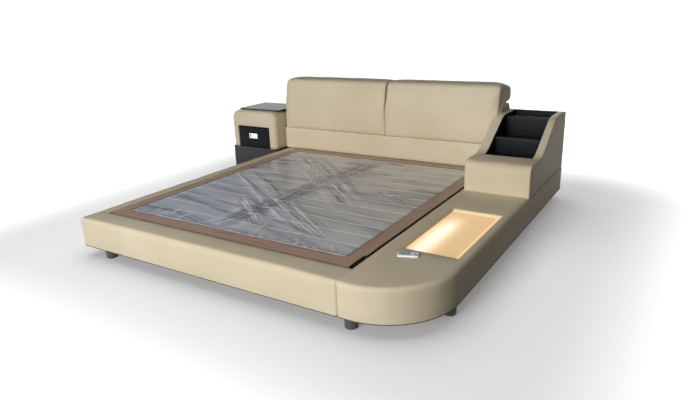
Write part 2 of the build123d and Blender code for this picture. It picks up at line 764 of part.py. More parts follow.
# Storage well: battens on the walls, a floor in two panels and a middle board under the spar
ledge_width = 42
ledge_height = 40
floor_top = 112
floor_wall = 12
floor_batten = 22
floor_gap = 3
divider_board = 18
ledge_top = base_bottom
well_clear_left = well_left + touch_gap
well_clear_right = well_right - touch_gap
well_clear_front = well_front + touch_gap

with BuildPart() as wall_battens:
    block((well_clear_left, well_left + ledge_width), (well_clear_front, band_front - ledge_width),
          (ledge_top - ledge_height, ledge_top))
    block((well_right - ledge_width, well_clear_right), (well_clear_front, band_front - ledge_width),
          (ledge_top - ledge_height, ledge_top))
    block((well_clear_left, well_left + ledge_width), (well_clear_front, band_front - ledge_width),
          (floor_top - floor_wall - floor_batten, floor_top - floor_wall))
    block((well_right - ledge_width, well_clear_right), (well_clear_front, band_front - ledge_width),
          (floor_top - floor_wall - floor_batten, floor_top - floor_wall))
    block((well_left + ledge_width, well_right - ledge_width), (well_clear_front, well_front + ledge_width),
          (ledge_top - ledge_height, ledge_top))
    block((well_left + ledge_width, well_right - ledge_width), (well_clear_front, well_front + ledge_width),
          (floor_top - floor_wall - floor_batten, floor_top - floor_wall))
finish(wall_battens, "wall_battens")

with BuildPart() as storage_floor:
    for x_span in ((well_left + floor_gap, well_middle - floor_gap / 2),
                   (well_middle + floor_gap / 2, well_right - floor_gap)):
        block(x_span, (well_front + floor_gap, band_front - floor_gap), (floor_top - floor_wall, floor_top))
finish(storage_floor, "storage_floor")

with BuildPart() as middle_board:
    block((well_middle - divider_board / 2, well_middle + divider_board / 2),
          (well_front + ledge_width + floor_gap, band_front - leaf_wall - floor_gap),
          (floor_top, spar_top - spar_height - touch_gap))
finish(middle_board, "middle_board")

# Corner plates that tie the footboard to the rail and to the side platform
plate_leg = 62
plate_wall = 4
plate_bottom = floor_top + floor_gap
plate_top = ledge_top - ledge_height - floor_gap

with BuildPart() as corner_plates:
    for corner, side in ((well_clear_left, 1), (well_clear_right, -1)):
        block(sorted((corner, corner + side * plate_leg)), (well_clear_front, well_clear_front + plate_wall),
              (plate_bottom, plate_top))
        block(sorted((corner, corner + side * plate_wall)), (well_clear_front, well_clear_front + plate_leg),
              (plate_bottom, plate_top))
finish(corner_plates, "corner_plates")

# Gas struts: a tube on a stud at the side wall, a rod whose eye hangs beside a stud on the base
strut_inset = 68
strut_foot_back = 910
strut_foot_height = 140
strut_head_back = 530
strut_head_drop = 52
strut_radius = 11
strut_rod_radius = 4.5
strut_bore_gap = 0.5
strut_tube_length = 240
strut_end_wall = 18
strut_eye_radius = 9
strut_eye_width = 10
strut_stud_radius = 4
strut_stud_gap = 0.08
strut_open_gap = 0.8
bracket_wall = 4
bracket_size = 50
bracket_offset = 6
strut_x = (well_left + strut_inset, well_right - strut_inset)
strut_foot = (lift_axis_y - strut_foot_back, strut_foot_height)
strut_head = (lift_axis_y - strut_head_back, lift_axis_z - strut_head_drop)
strut_length = hypot(strut_head[0] - strut_foot[0], strut_head[1] - strut_foot[1])
strut_angle = atan2(strut_head[1] - strut_foot[1], strut_head[0] - strut_foot[0])


def along_strut(x, distance):
    """A plane square to a strut, at a distance along it from its lower stud."""
    along = (cos(strut_angle), sin(strut_angle))
    return Plane(origin=(x, strut_foot[0] + distance * along[0], strut_foot[1] + distance * along[1]),
                 x_dir=(1, 0, 0), z_dir=(0, *along))


def strut_tube(x):
    """The outer tube with its lower eye."""
    with BuildSketch(along_strut(x, strut_eye_radius / 2)) as barrel:
        Circle(strut_radius)
    extrude(barrel.sketch, amount=strut_tube_length)
    with BuildSketch(Plane.YZ.offset(x - strut_eye_width / 2)) as eye:
        with Locations(strut_foot):
            Circle(strut_radius)
    extrude(eye.sketch, amount=strut_eye_width)
    with BuildSketch(along_strut(x, strut_end_wall)) as bore:
        Circle(strut_rod_radius + strut_bore_gap)
    extrude(bore.sketch, amount=strut_tube_length, mode=Mode.SUBTRACT)
    with BuildSketch(Plane.YZ.offset(x - strut_radius - overrun)) as stud_hole:
        with Locations(strut_foot):
            Circle(strut_stud_radius + strut_stud_gap)
    extrude(stud_hole.sketch, amount=2 * (strut_radius + overrun), mode=Mode.SUBTRACT)


def strut_rod(x):
    """The rod with its upper eye."""
    with BuildSketch(along_strut(x, strut_end_wall + strut_bore_gap)) as rod:
        Circle(strut_rod_radius)
    extrude(rod.sketch, amount=strut_length - strut_end_wall - strut_bore_gap)
    with BuildSketch(Plane.YZ.offset(x - strut_eye_width / 2)) as eye:
        with Locations(strut_head):
            Circle(strut_eye_radius)
    extrude(eye.sketch, amount=strut_eye_width)
    with BuildSketch(Plane.YZ.offset(x - strut_eye_width)) as stud_hole:
        with Locations(strut_head):
            Circle(strut_stud_radius)
    extrude(stud_hole.sketch, amount=2 * strut_eye_width, mode=Mode.SUBTRACT)


with BuildPart() as left_strut_tube:
    strut_tube(strut_x[0])
finish(left_strut_tube, "left_strut_tube")

with BuildPart() as right_strut_tube:
    strut_tube(strut_x[1])
finish(right_strut_tube, "right_strut_tube")

with BuildPart() as left_strut_rod:
    strut_rod(strut_x[0])
finish(left_strut_rod, "left_strut_rod")

with BuildPart() as right_strut_rod:
    strut_rod(strut_x[1])
finish(right_strut_rod, "right_strut_rod")

with BuildPart() as strut_lower_brackets:
    for wall, x, side in ((well_clear_left, strut_x[0], 1), (well_clear_right, strut_x[1], -1)):
        block(sorted((wall, wall + side * bracket_wall)),
              (strut_foot[0] - bracket_size / 2, strut_foot[0] + bracket_size / 2),
              (floor_top + floor_gap, ledge_top - ledge_height - floor_gap))
        stud_tip = x + side * (strut_radius + bracket_wall)
        with BuildSketch(Plane.YZ.offset(wall)):
            with Locations(strut_foot):
                Circle(strut_stud_radius)
        extrude(amount=stud_tip - wall)
finish(strut_lower_brackets, "strut_lower_brackets")

with BuildPart() as strut_upper_brackets:
    for x, side in ((strut_x[0], 1), (strut_x[1], -1)):
        web = x + side * (strut_eye_width / 2 + strut_open_gap + bracket_offset)
        block(sorted((web, web + side * bracket_wall)),
              (strut_head[0] - bracket_size / 2, strut_head[0] + bracket_size / 2),
              (strut_head[1] - strut_eye_radius, base_bottom))
        block(sorted((web - side * bracket_size / 2, web + side * bracket_wall)),
              (strut_head[0] - bracket_size / 2, strut_head[0] + bracket_size / 2),
              (base_bottom - bracket_wall, base_bottom))
        with BuildSketch(Plane.YZ.offset(web)):
            with Locations(strut_head):
                Circle(strut_stud_radius)
        extrude(amount=x + side * (strut_eye_width / 2 + strut_open_gap) - web)
finish(strut_upper_brackets, "strut_upper_brackets")

# Feet: short tapered feet under the outer frame, the floor and the headboard
foot_top_radius = 37
foot_low_radius = 34
foot_edge = 4
foot_inset = 67
foot_platform_inset = 56
foot_hidden_inset = 200
foot_joint_inset = 38
foot_joint_head_inset = 55
foot_side_inset = 42
foot_front_corner = 405
foot_corner_inset = 180
foot_head_inset = 126
foot_rear_inset = 48
foot_middle_y = (well_front + band_front) / 2
foot_head_y = rear - foot_rear_inset
foot_places = (
    (rail_left + foot_corner_inset, front + foot_inset),
    (well_right + foot_joint_inset, front + foot_inset),
    (platform_right - foot_platform_inset, front + foot_front_corner),
    (rail_left + foot_side_inset, foot_middle_y),
    (well_right + foot_joint_head_inset, foot_middle_y),
    (platform_right - foot_hidden_inset, foot_head_y),
    (well_right + foot_joint_head_inset, foot_head_y),
    (well_middle, foot_head_y),
    (rail_left + foot_head_inset, foot_head_y),
)
well_foot_places = ((well_middle, well_front + well_length / 3), (well_middle, band_front - well_length / 3))


def foot(place, height):
    """One foot, turned, with a small round at its sole."""
    with BuildSketch(Plane.XZ.offset(-place[1])) as half:
        with BuildLine():
            sole = Polyline((place[0], 0), (place[0] + foot_low_radius - foot_edge, 0),
                            (place[0] + foot_low_radius, foot_edge), (place[0] + foot_top_radius, height),
                            (place[0], height))
            Line(sole @ 1, sole @ 0)
        make_face()
    revolve(half.sketch, axis=Axis((place[0], place[1], 0), (0, 0, 1)))


with BuildPart() as feet:
    for place in foot_places:
        foot(place, core_bottom - touch_gap)
    for place in well_foot_places:
        foot(place, floor_top - floor_wall - touch_gap)
finish(feet, "feet")

# Bedside cabinet: a closed base box, and a drawer box under a padded arch with a glass top
base_box_top = arch_bottom - touch_gap
nightstand_middle = (nightstand_left + nightstand_right) / 2
opening_left = nightstand_left + arch_leg_width
opening_right = nightstand_right - arch_leg_width
opening_top = arch_top - arch_roof
carcass_front = nightstand_front + drawer_front_setback + drawer_front_wall + drawer_gap
carcass_top = opening_top + board

with BuildPart() as nightstand_base:
    block((nightstand_left, nightstand_right), (nightstand_front + soft_gap, nightstand_rear),
          (0, base_box_top))
    block((nightstand_left + base_board, nightstand_right - base_board),
          (nightstand_front + soft_gap + base_board, nightstand_rear - base_board),
          (-overrun, base_box_top - base_board), mode=Mode.SUBTRACT)
    tie_holes(nightstand_right - base_board - overrun, base_board + 2 * overrun)
finish(nightstand_base, "nightstand_base")

with BuildPart() as nightstand_arch:
    with BuildSketch(Plane.XZ.offset(-nightstand_front)):
        with BuildLine():
            sides = FilletPolyline((nightstand_left, arch_bottom), (nightstand_left, arch_top),
                                   (nightstand_right, arch_top), (nightstand_right, arch_bottom),
                                   radius=[shoulder_radius, shoulder_radius])
            Line(sides @ 1, sides @ 0)
        make_face()
    extrude(amount=-nightstand_depth)
    front_face = nightstand_arch.faces().sort_by(Axis.Y)[0]
    fillet(front_face.edges().sort_by(Axis.Z)[1:], arch_front_radius)
    block((opening_left - board - fit_gap, opening_right + board + fit_gap),
          (carcass_front - fit_gap, nightstand_rear + overrun),
          (arch_bottom - overrun, carcass_top + fit_gap), mode=Mode.SUBTRACT)
    block((opening_left, opening_right), (nightstand_front - overrun, nightstand_rear),
          (arch_bottom - overrun, opening_top), mode=Mode.SUBTRACT)
finish(nightstand_arch, "nightstand_arch")

with BuildPart() as nightstand_carcass:
    block((opening_left - board, opening_right + board), (carcass_front, nightstand_rear),
          (arch_bottom, carcass_top))
    block((opening_left, opening_right), (carcass_front - overrun, nightstand_rear - board),
          (arch_bottom + board, carcass_top - board), mode=Mode.SUBTRACT)
finish(nightstand_carcass, "nightstand_carcass")

glass_wall = 10
glass_lift = 3
glass_left_inset = 46
glass_right_inset = 6
glass_rear_inset = 6
glass_corner = 4
bumper_radius = 9
bumper_inset = 96
glass_setback = 36
glass_front = nightstand_front + arch_front_radius + glass_setback
glass_bottom = arch_top + glass_lift

with BuildPart() as glass_top:
    block((nightstand_left + glass_left_inset, nightstand_right - glass_right_inset),
          (glass_front, nightstand_rear - glass_rear_inset), (glass_bottom, glass_bottom + glass_wall))
    fillet(glass_top.edges().filter_by(Axis.Z), glass_corner)
finish(glass_top, "glass_top")

with BuildPart() as glass_bumpers:
    with BuildSketch(Plane.XY.offset(arch_top)):
        with Locations((nightstand_middle, (glass_front + nightstand_rear) / 2)):
            with GridLocations(nightstand_width - 2 * bumper_inset,
                               nightstand_rear - glass_front - bumper_inset, 2, 2):
                Circle(bumper_radius)
    extrude(amount=glass_lift)
finish(glass_bumpers, "glass_bumpers")

# Drawer: a padded black front with a bright cup pull, a timber box and two telescopic runners
drawer_front_crown = 5
drawer_side_gap = 13
drawer_wall = 12
drawer_lift = 14
drawer_head_gap = 22
drawer_rear_gap = 36
pull_width = 96
pull_height = 46
pull_proud = 9
pull_lip = 9
pull_drop_share = 0.44
drawer_face = nightstand_front + drawer_front_setback
drawer_back = drawer_face + drawer_front_wall
drawer_bottom = arch_bottom + board + drawer_lift
drawer_height = opening_top - drawer_bottom - drawer_head_gap
drawer_depth = nightstand_rear - board - drawer_rear_gap - drawer_back
front_low = arch_bottom + drawer_gap
front_high = opening_top - drawer_gap

with BuildPart() as drawer_front:
    with BuildSketch(Plane.YZ.offset(opening_left + drawer_gap)):
        with BuildLine():
            ThreePointArc((drawer_face, front_low),
                          (drawer_face - drawer_front_crown, (front_low + front_high) / 2),
                          (drawer_face, front_high))
            Polyline((drawer_face, front_high), (drawer_back, front_high), (drawer_back, front_low),
                     (drawer_face, front_low))
        make_face()
    extrude(amount=opening_right - opening_left - 2 * drawer_gap)
finish(drawer_front, "drawer_front")

with BuildPart() as drawer_box:
    box_span = (opening_left + drawer_side_gap, opening_right - drawer_side_gap)
    block(box_span, (drawer_back, drawer_back + drawer_depth), (drawer_bottom, drawer_bottom + drawer_height))
    block((box_span[0] + drawer_wall, box_span[1] - drawer_wall),
          (drawer_back + drawer_wall, drawer_back + drawer_depth - drawer_wall),
          (drawer_bottom + drawer_wall, drawer_bottom + drawer_height + overrun), mode=Mode.SUBTRACT)
finish(drawer_box, "drawer_box")

pull_middle = front_low + (front_high - front_low) * (1 - pull_drop_share)
pull_face = drawer_face - drawer_front_crown
with BuildPart() as drawer_pull:
    block((nightstand_middle - pull_width / 2, nightstand_middle + pull_width / 2),
          (pull_face - pull_proud, pull_face), (pull_middle - pull_height / 2, pull_middle + pull_height / 2))
    fillet(drawer_pull.edges().filter_by(Axis.Y), pull_lip / 2)
    block((nightstand_middle - pull_width / 2 + pull_lip, nightstand_middle + pull_width / 2 - pull_lip),
          (pull_face - pull_proud - overrun, pull_face - pull_lip / 4),
          (pull_middle - pull_height / 2 + pull_lip, pull_middle + pull_height / 2 - pull_lip / 2),
          mode=Mode.SUBTRACT)
finish(drawer_pull, "drawer_pull")

runner_height = 36
runner_wall = 2
runner_depth = 10
runner_inset = 30
runner_length = drawer_depth - runner_inset
runner_gap = 0.5
runner_lift = 20
runner_bottom = drawer_bottom + runner_lift
runner_front = carcass_front + drawer_gap

with BuildPart() as drawer_runners:
    for wall, side in ((opening_left, 1), (opening_right, -1)):
        block(sorted((wall, wall + side * runner_depth)), (runner_front, runner_front + runner_length),
              (runner_bottom, runner_bottom + runner_height))
        block(sorted((wall + side * runner_wall, wall + side * (runner_depth + overrun))),
              (runner_front - overrun, runner_front + runner_length + overrun),
              (runner_bottom + runner_wall, runner_bottom + runner_height - runner_wall), mode=Mode.SUBTRACT)
finish(drawer_runners, "drawer_runners")

with BuildPart() as drawer_slides:
    for wall, side in ((opening_left, 1), (opening_right, -1)):
        block(sorted((wall + side * (runner_wall + runner_gap), wall + side * drawer_side_gap)),
              (runner_front, runner_front + runner_length),
              (runner_bottom + runner_wall + runner_gap,
               runner_bottom + runner_height - runner_wall - runner_gap))
finish(drawer_slides, "drawer_slides")

# The tie bolts themselves, their heads inside the cabinet's base
tie_start = nightstand_right - base_board - tie_head

with BuildPart() as tie_bolts:
    for y in tie_places:
        with BuildSketch(Plane.YZ.offset(tie_start)):
            with Locations((y, tie_height)):
                Circle(tie_head_radius)
        extrude(amount=tie_head)
        with BuildSketch(Plane.YZ.offset(tie_start)):
            with Locations((y, tie_height)):
                Circle(tie_radius)
        extrude(amount=frame_left + frame_panel - tie_start)
finish(tie_bolts, "tie_bolts")

# Hand control for the lights, lying on the platform by the lit recess
remote_length = 106
remote_width = 50
remote_height = 13
remote_turn = 20
remote_corner = 12
remote_edge_bevel = 1.5
remote_inset = 73
remote_forward = 85
remote_x = recess_left + remote_inset
remote_y = recess_front - remote_forward
remote_band_width = 14
remote_band_inset = 28
remote_band_rise = 1.5
remote_slot_width = 9
remote_slot_margin = 11
keypad_margin = 6
keypad_wall = 1
keypad_corner = 5
keypad_length = remote_length - remote_band_inset - remote_band_width / 2 - 2 * keypad_margin
keypad_width = remote_width - 2 * keypad_margin
keypad_offset = (2 * keypad_margin + keypad_length - remote_length) / 2
key_rows = 2
key_columns = 4
key_gap = 3
key_rise = 0.6
remote_plane = Plane(origin=(remote_x, remote_y, deck_height + touch_gap),
                     x_dir=(cos(radians(remote_turn)), sin(radians(remote_turn)), 0), z_dir=(0, 0, 1))

with BuildPart() as remote_body:
    with BuildSketch(remote_plane):
        RectangleRounded(remote_length, remote_width, remote_corner)
    extrude(amount=remote_height)
    chamfer(remote_body.faces().sort_by(Axis.Z)[-1].edges(), remote_edge_bevel)
    with BuildSketch(remote_plane):
        with Locations((remote_length / 2 - remote_band_inset, 0)):
            RectangleRounded(remote_band_width, remote_width + 2 * remote_band_rise, remote_band_rise)
    extrude(amount=remote_height + remote_band_rise)
    with BuildSketch(remote_plane):
        with Locations((remote_length / 2 - remote_slot_margin, 0)):
            SlotOverall(remote_width - 2 * remote_slot_margin, remote_slot_width, rotation=90)
    extrude(amount=remote_height + overrun, mode=Mode.SUBTRACT)
finish(remote_body, "remote_body")

with BuildPart() as remote_keypad:
    with BuildSketch(remote_plane.offset(remote_height)):
        with Locations((keypad_offset, 0)):
            RectangleRounded(keypad_length, keypad_width, keypad_corner)
    extrude(amount=keypad_wall)
    key_length = keypad_length / key_columns - key_gap
    key_width = keypad_width / key_rows - key_gap
    with BuildSketch(remote_plane.offset(remote_height + keypad_wall)):
        with Locations((keypad_offset, 0)):
            with GridLocations(key_length + key_gap, key_width + key_gap, key_columns, key_rows):
                Rectangle(key_length, key_width)
    extrude(amount=key_rise)
finish(remote_keypad, "remote_keypad")

# Length and turn of the gas struts with the base lifted
lift_range = 35
opened = radians(lift_range)
head_opened = (lift_axis_y + (-strut_head_back) * cos(opened) + (-strut_head_drop) * sin(opened),
               lift_axis_z + strut_head_back * sin(opened) - strut_head_drop * cos(opened))
opened_length = hypot(head_opened[0] - strut_foot[0], head_opened[1] - strut_foot[1])
opened_angle = atan2(head_opened[1] - strut_foot[1], head_opened[0] - strut_foot[0])
print(f"strut closed {strut_length:.1f} mm, open {opened_length:.1f} mm,",
      f"turns {degrees(opened_angle - strut_angle):.2f} degrees")
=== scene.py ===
# %% [markdown]
# # A leather platform bed with a lift-up slatted base
# The bed is timber boxes under foam and leather: a footboard, a side rail, a wide side platform
# with a lit recess, an open shelf unit, a headboard with two tilting headrests, and a bedside
# cabinet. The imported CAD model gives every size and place. This file gives it its looks.
# Hard parts keep their CAD shape and get a material. Each soft part gets its own padded form.

# %% Load the frame
import json
import math
import bpy
import numpy as np
from mathutils import Matrix, Vector


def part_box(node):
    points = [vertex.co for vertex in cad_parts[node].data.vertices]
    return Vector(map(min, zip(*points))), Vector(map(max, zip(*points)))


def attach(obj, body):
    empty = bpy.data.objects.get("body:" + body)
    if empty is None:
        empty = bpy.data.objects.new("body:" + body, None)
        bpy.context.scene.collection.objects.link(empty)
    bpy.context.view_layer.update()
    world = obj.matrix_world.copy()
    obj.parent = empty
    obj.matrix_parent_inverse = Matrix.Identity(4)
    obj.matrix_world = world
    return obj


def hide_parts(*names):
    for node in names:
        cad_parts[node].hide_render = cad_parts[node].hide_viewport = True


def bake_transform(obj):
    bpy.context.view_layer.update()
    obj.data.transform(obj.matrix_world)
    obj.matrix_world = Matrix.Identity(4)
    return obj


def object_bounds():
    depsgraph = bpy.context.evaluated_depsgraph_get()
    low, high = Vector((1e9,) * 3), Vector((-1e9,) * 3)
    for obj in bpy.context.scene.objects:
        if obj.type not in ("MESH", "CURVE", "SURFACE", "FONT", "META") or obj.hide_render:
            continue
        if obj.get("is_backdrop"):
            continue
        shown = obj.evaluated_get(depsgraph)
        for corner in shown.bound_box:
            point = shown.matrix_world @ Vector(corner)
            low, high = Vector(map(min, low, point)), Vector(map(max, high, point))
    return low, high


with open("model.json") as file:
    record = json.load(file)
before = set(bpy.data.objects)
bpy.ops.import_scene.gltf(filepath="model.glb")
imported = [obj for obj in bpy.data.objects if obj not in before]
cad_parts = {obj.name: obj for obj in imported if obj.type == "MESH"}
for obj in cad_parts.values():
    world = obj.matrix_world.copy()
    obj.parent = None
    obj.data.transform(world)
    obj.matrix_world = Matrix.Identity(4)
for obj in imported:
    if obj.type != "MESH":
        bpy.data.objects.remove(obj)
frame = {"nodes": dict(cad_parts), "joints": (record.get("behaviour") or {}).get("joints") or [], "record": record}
cad_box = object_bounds()
print("pieces in the frame:", len(frame["nodes"]))

# %% [markdown]
# ## Camera
# The photograph was taken from off the bed's right foot corner, with the camera 1.42 m up and
# pointing 18 degrees down. A pinhole camera was fitted to the bed's straight edges. It gives the
# turn, the tilt, a slight roll, and the focal length.

# %% Camera
turn, tilt, roll = 0.5662, 0.3142, -0.0363
forward = Vector((-math.sin(turn) * math.cos(tilt), math.cos(turn) * math.cos(tilt), -math.sin(tilt)))
level = Vector((math.cos(turn), math.sin(turn), 0))
upward = level.cross(forward)
rightward = level * math.cos(roll) + upward * math.sin(roll)
topward = upward * math.cos(roll) - level * math.sin(roll)
camera_place = (2.3659, -3.2079, 1.4219)
photo_width, focal_length = 700, 568.6
bpy.ops.object.select_all(action="DESELECT")
bpy.ops.object.camera_add()
camera = bpy.context.object
camera.matrix_world = (Matrix.Translation(camera_place)
                       @ Matrix((rightward, topward, -forward)).transposed().to_4x4())
camera.data.sensor_width = 36
camera.data.lens = focal_length / photo_width * camera.data.sensor_width
bpy.context.scene.camera = camera
print(f"lens {camera.data.lens:.2f} mm")

# %% [markdown]
# ## Colour and nodes
# Colours are written as the hex codes that a colour picker shows. Blender works in linear light,
# so one function turns them. A second one adds a shader node with its settings and its links, and
# short ones add the kinds that every material needs: sums, ranges, mixes, noise and bumps.

# %% Colour and nodes
def linear(code, alpha=1):
    """Turn an sRGB hex colour into the linear colour that Blender wants."""
    parts = [int(code[i:i + 2], 16) / 255 for i in (1, 3, 5)]
    return (*[c / 12.92 if c <= 0.04045 else ((c + 0.055) / 1.055) ** 2.4 for c in parts], alpha)


def add(tree, kind, inputs=(), **settings):
    """Add a node. Settings are its own options. Inputs are values or sockets, by name or number."""
    made = tree.nodes.new(kind)
    for name, value in settings.items():
        setattr(made, name, value)
    for name, value in dict(inputs).items():
        if isinstance(value, bpy.types.NodeSocket):
            tree.links.new(value, made.inputs[name])
        else:
            made.inputs[name].default_value = value
    return made


def calculate(tree, operation, *values, kind="Math", **settings):
    """The result of a sum on values, or on vectors where the kind is VectorMath."""
    return add(tree, "ShaderNode" + kind, dict(enumerate(values)), operation=operation, **settings).outputs[0]


def strongest(tree, first, *others):
    """The largest of several values."""
    for other in others:
        first = calculate(tree, "MAXIMUM", first, other)
    return first


def ranged(tree, value, from_min=0, from_max=1, to_min=0, to_max=1, **settings):
    """A value moved from one range to another, and held at its ends."""
    inputs = {"Value": value, "From Min": from_min, "From Max": from_max, "To Min": to_min, "To Max": to_max}
    return add(tree, "ShaderNodeMapRange", inputs, **settings).outputs["Result"]


def blended(tree, factor, first, second):
    """Two colours mixed by a factor."""
    return add(tree, "ShaderNodeMix", {"Factor": factor, 6: first, 7: second}, data_type="RGBA").outputs[2]


def noise(tree, place, scale, detail, **values):
    """A cloud of noise at a place."""
    inputs = {"Vector": place, "Scale": scale, "Detail": detail, **values}
    return add(tree, "ShaderNodeTexNoise", inputs).outputs["Fac"]


def bumped(tree, height, strength, distance, **values):
    """The surface's normal, raised by a height."""
    inputs = {"Height": height, "Strength": strength, "Distance": distance, **values}
    return add(tree, "ShaderNodeBump", inputs).outputs["Normal"]


def parts_of(tree, vector):
    """The three parts of a vector, by their letters."""
    return add(tree, "ShaderNodeSeparateXYZ", {"Vector": vector}).outputs


def new_finish(name, **values):
    """A material with its main shader's values set. It gives the material, nodes, shader and place."""
    made = bpy.data.materials.new(name)
    made.use_nodes = True
    tree = made.node_tree
    main = tree.nodes["Principled BSDF"]
    for key, value in values.items():
        main.inputs[key.replace("_", " ")].default_value = value
    return made, tree, main, add(tree, "ShaderNodeTexCoord").outputs["Object"]


def connect(tree, main, **sockets):
    """Join sockets to the main shader's inputs. An underscore in a name stands for a space."""
    for key, socket in sockets.items():
        tree.links.new(socket, main.inputs[key.replace("_", " ")])


# %% [markdown]
# ## Room and lights
# The bed stands in a white studio. A broad soft light comes from the front, low enough that the
# upright front faces are brighter than the tops. A weaker one hangs above and a small one stands
# behind. The far side gets little light, so the room's own light is weak. The floor glows, least
# near the bed and more with distance from it, which paints a soft shade round the bed, shifted
# to the right and back. The floor also has a lamp that lights nothing else. It gives the bed no
# light of its own. Only the camera sees the upper wall.

# %% Room and lights
room_radius, room_top = 28, 40
floor_wall_top, wall_overlap = 5.9, 0.02
shade_halo_shift = (0.10, 0.04, 0)
glow_start, glow_full, glow_least = 0.25, 1.35, 0.21


def area_light(name, place, target, size, power, colour="#FFFFFF"):
    """A soft square light that points at a target."""
    bpy.ops.object.light_add(type="AREA", location=place)
    lamp = bpy.context.object
    lamp.name = name
    lamp.rotation_euler = (Vector(target) - Vector(place)).to_track_quat("-Z", "Y").to_euler()
    lamp.data.size, lamp.data.energy, lamp.data.color = size, power, linear(colour)[:3]
    lamp.visible_camera = False
    return lamp


world = bpy.data.worlds.new("white_studio")
bpy.context.scene.world = world
world.use_nodes = True
world.node_tree.nodes["Background"].inputs["Color"].default_value = linear("#F3F1EE")
world.node_tree.nodes["Background"].inputs["Strength"].default_value = 0.09
area_light("front_light", (0.2, -8.4, 2.4), (0, 0, 0.3), 2.8, 575)
area_light("high_light", (-0.6, -2.9, 4.1), (0, -0.6, 0), 3.4, 52, "#F6F8FF")
area_light("back_light", (0.4, 6.4, 0.9), (0, 1.2, 0.45), 1.5, 60)
floor_light = area_light("floor_light", (-0.6, 0.8, 4.6), (0, 0, 0), 7.0, 320)


def studio_drum(name, low_z, high_z):
    """A round room seen from inside: a drum between two heights, its top cut off and its faces inward."""
    bpy.ops.object.select_all(action="DESELECT")
    depth = high_z - low_z + 1
    bpy.ops.mesh.primitive_cylinder_add(vertices=96, radius=room_radius, depth=depth,
                                        location=(0, 0, low_z + depth / 2))
    drum = bpy.context.object
    drum.name = name
    bpy.ops.object.transform_apply(location=True, rotation=True, scale=True)
    bpy.ops.object.mode_set(mode="EDIT")
    bpy.ops.mesh.select_all(action="SELECT")
    bpy.ops.mesh.bisect(plane_co=(0, 0, high_z), plane_no=(0, 0, 1), clear_outer=True)
    if low_z > 0:
        bpy.ops.mesh.select_all(action="SELECT")
        bpy.ops.mesh.bisect(plane_co=(0, 0, low_z + 0.01), plane_no=(0, 0, 1), clear_inner=True)
    bpy.ops.mesh.select_all(action="SELECT")
    bpy.ops.mesh.flip_normals()
    bpy.ops.object.mode_set(mode="OBJECT")
    return drum


studio = studio_drum("studio_floor", 0, floor_wall_top)
upper_wall = studio_drum("studio_upper_wall", floor_wall_top - wall_overlap, room_top)
studio_paint, tree, main, spot = new_finish("matt_studio_floor", Base_Color=linear("#B4B4B5"), Roughness=0.9,
                                            Emission_Color=linear("#FFFFFF"))
half = (cad_box[1] - cad_box[0]) / 2
# Painted shade: the floor's glow is least near the bed's outline and grows with distance from it.
beyond = calculate(tree, "SUBTRACT", spot, shade_halo_shift, kind="VectorMath")
beyond = calculate(tree, "ABSOLUTE", beyond, kind="VectorMath")
beyond = calculate(tree, "SUBTRACT", beyond, (half.x, half.y, 0), kind="VectorMath")
beyond = calculate(tree, "MAXIMUM", beyond, (0, 0, 0), kind="VectorMath")
distance = add(tree, "ShaderNodeVectorMath", {0: beyond}, operation="LENGTH").outputs["Value"]
connect(tree, main, Emission_Strength=ranged(tree, distance, glow_start, glow_full, glow_least,
                                             interpolation_type="SMOOTHSTEP"))
for wall in (studio, upper_wall):
    wall.data.materials.append(studio_paint)
    wall.visible_diffuse = False
    wall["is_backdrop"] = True
upper_wall.visible_glossy = upper_wall.visible_transmission = upper_wall.visible_shadow = False
floor_only = bpy.data.collections.new("lit_by_the_floor_light")
floor_only.objects.link(studio)
floor_light.light_linking.receiver_collection = floor_only
bpy.context.scene.view_settings.view_transform = "Standard"

# %% [markdown]
# ## Leather
# Real finish: corrected-grain cowhide, dyed, with a thin satin top coat. It gives a fine pebble
# that breaks up the highlight, soft hollows where the foam gives, and a slightly uneven dye.
# The real grain is about 1 mm across, too fine to show, so it is drawn 4 mm across.

# %% Leather finishes
def leather(name, colour, shade, roughness, grain=0.004, hollow=0.5, under=0.0):
    """Satin leather: a pebbled grain, soft hollows and an uneven dye, with painted shade along its lowest few
    millimetres, where it turns under.
    """
    made, tree, main, spot = new_finish(name, IOR=1.5, Specular_IOR_Level=0.10)
    cells = add(tree, "ShaderNodeTexVoronoi", {"Vector": spot, "Scale": 1 / grain, "Randomness": 1})
    pebble = cells.outputs["Distance"]
    cloud = noise(tree, spot, 5, 4, Distortion=0.8)
    dye = ranged(tree, noise(tree, spot, 1.7, 5, Roughness=0.6), 0.35, 0.7)
    soft = bumped(tree, cloud, hollow, 0.004)
    # Painted shade: the leather turns dark below a height about 3 mm above the given one, where it turns under.
    underside_shade = ranged(tree, parts_of(tree, spot)["Z"], under + 0.003, under - 0.001)
    dyed = blended(tree, underside_shade, blended(tree, dye, linear(colour), linear(shade)), linear("#4D452F"))
    gloss = ranged(tree, pebble, 0, 0.8, roughness - 0.06, roughness + 0.08)
    fine = bumped(tree, pebble, 0.22, 0.0006, Normal=soft)
    connect(tree, main, Base_Color=dyed, Roughness=gloss, Normal=fine)
    return made


beige_leather = leather("satin_beige_leather", "#D6CAB0", "#CCBEA0", 0.5,
                        under=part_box("footboard_cover")[0].z + 0.004)
black_leather = leather("smooth_black_leather", "#17181C", "#101116", 0.36, hollow=0.3)

# %% [markdown]
# ## Wood, metal, plastic and glass
# The border is chipboard under a brown wood-grain foil. The slats are bent beech plywood with a
# clear lacquer. Hidden timber is planed pine. Grain runs along each board, so a Mapping node
# squeezes the pattern across it. Metals keep Blender's own IOR.

# %% Wood finishes
base_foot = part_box("base_end_borders")[0].y


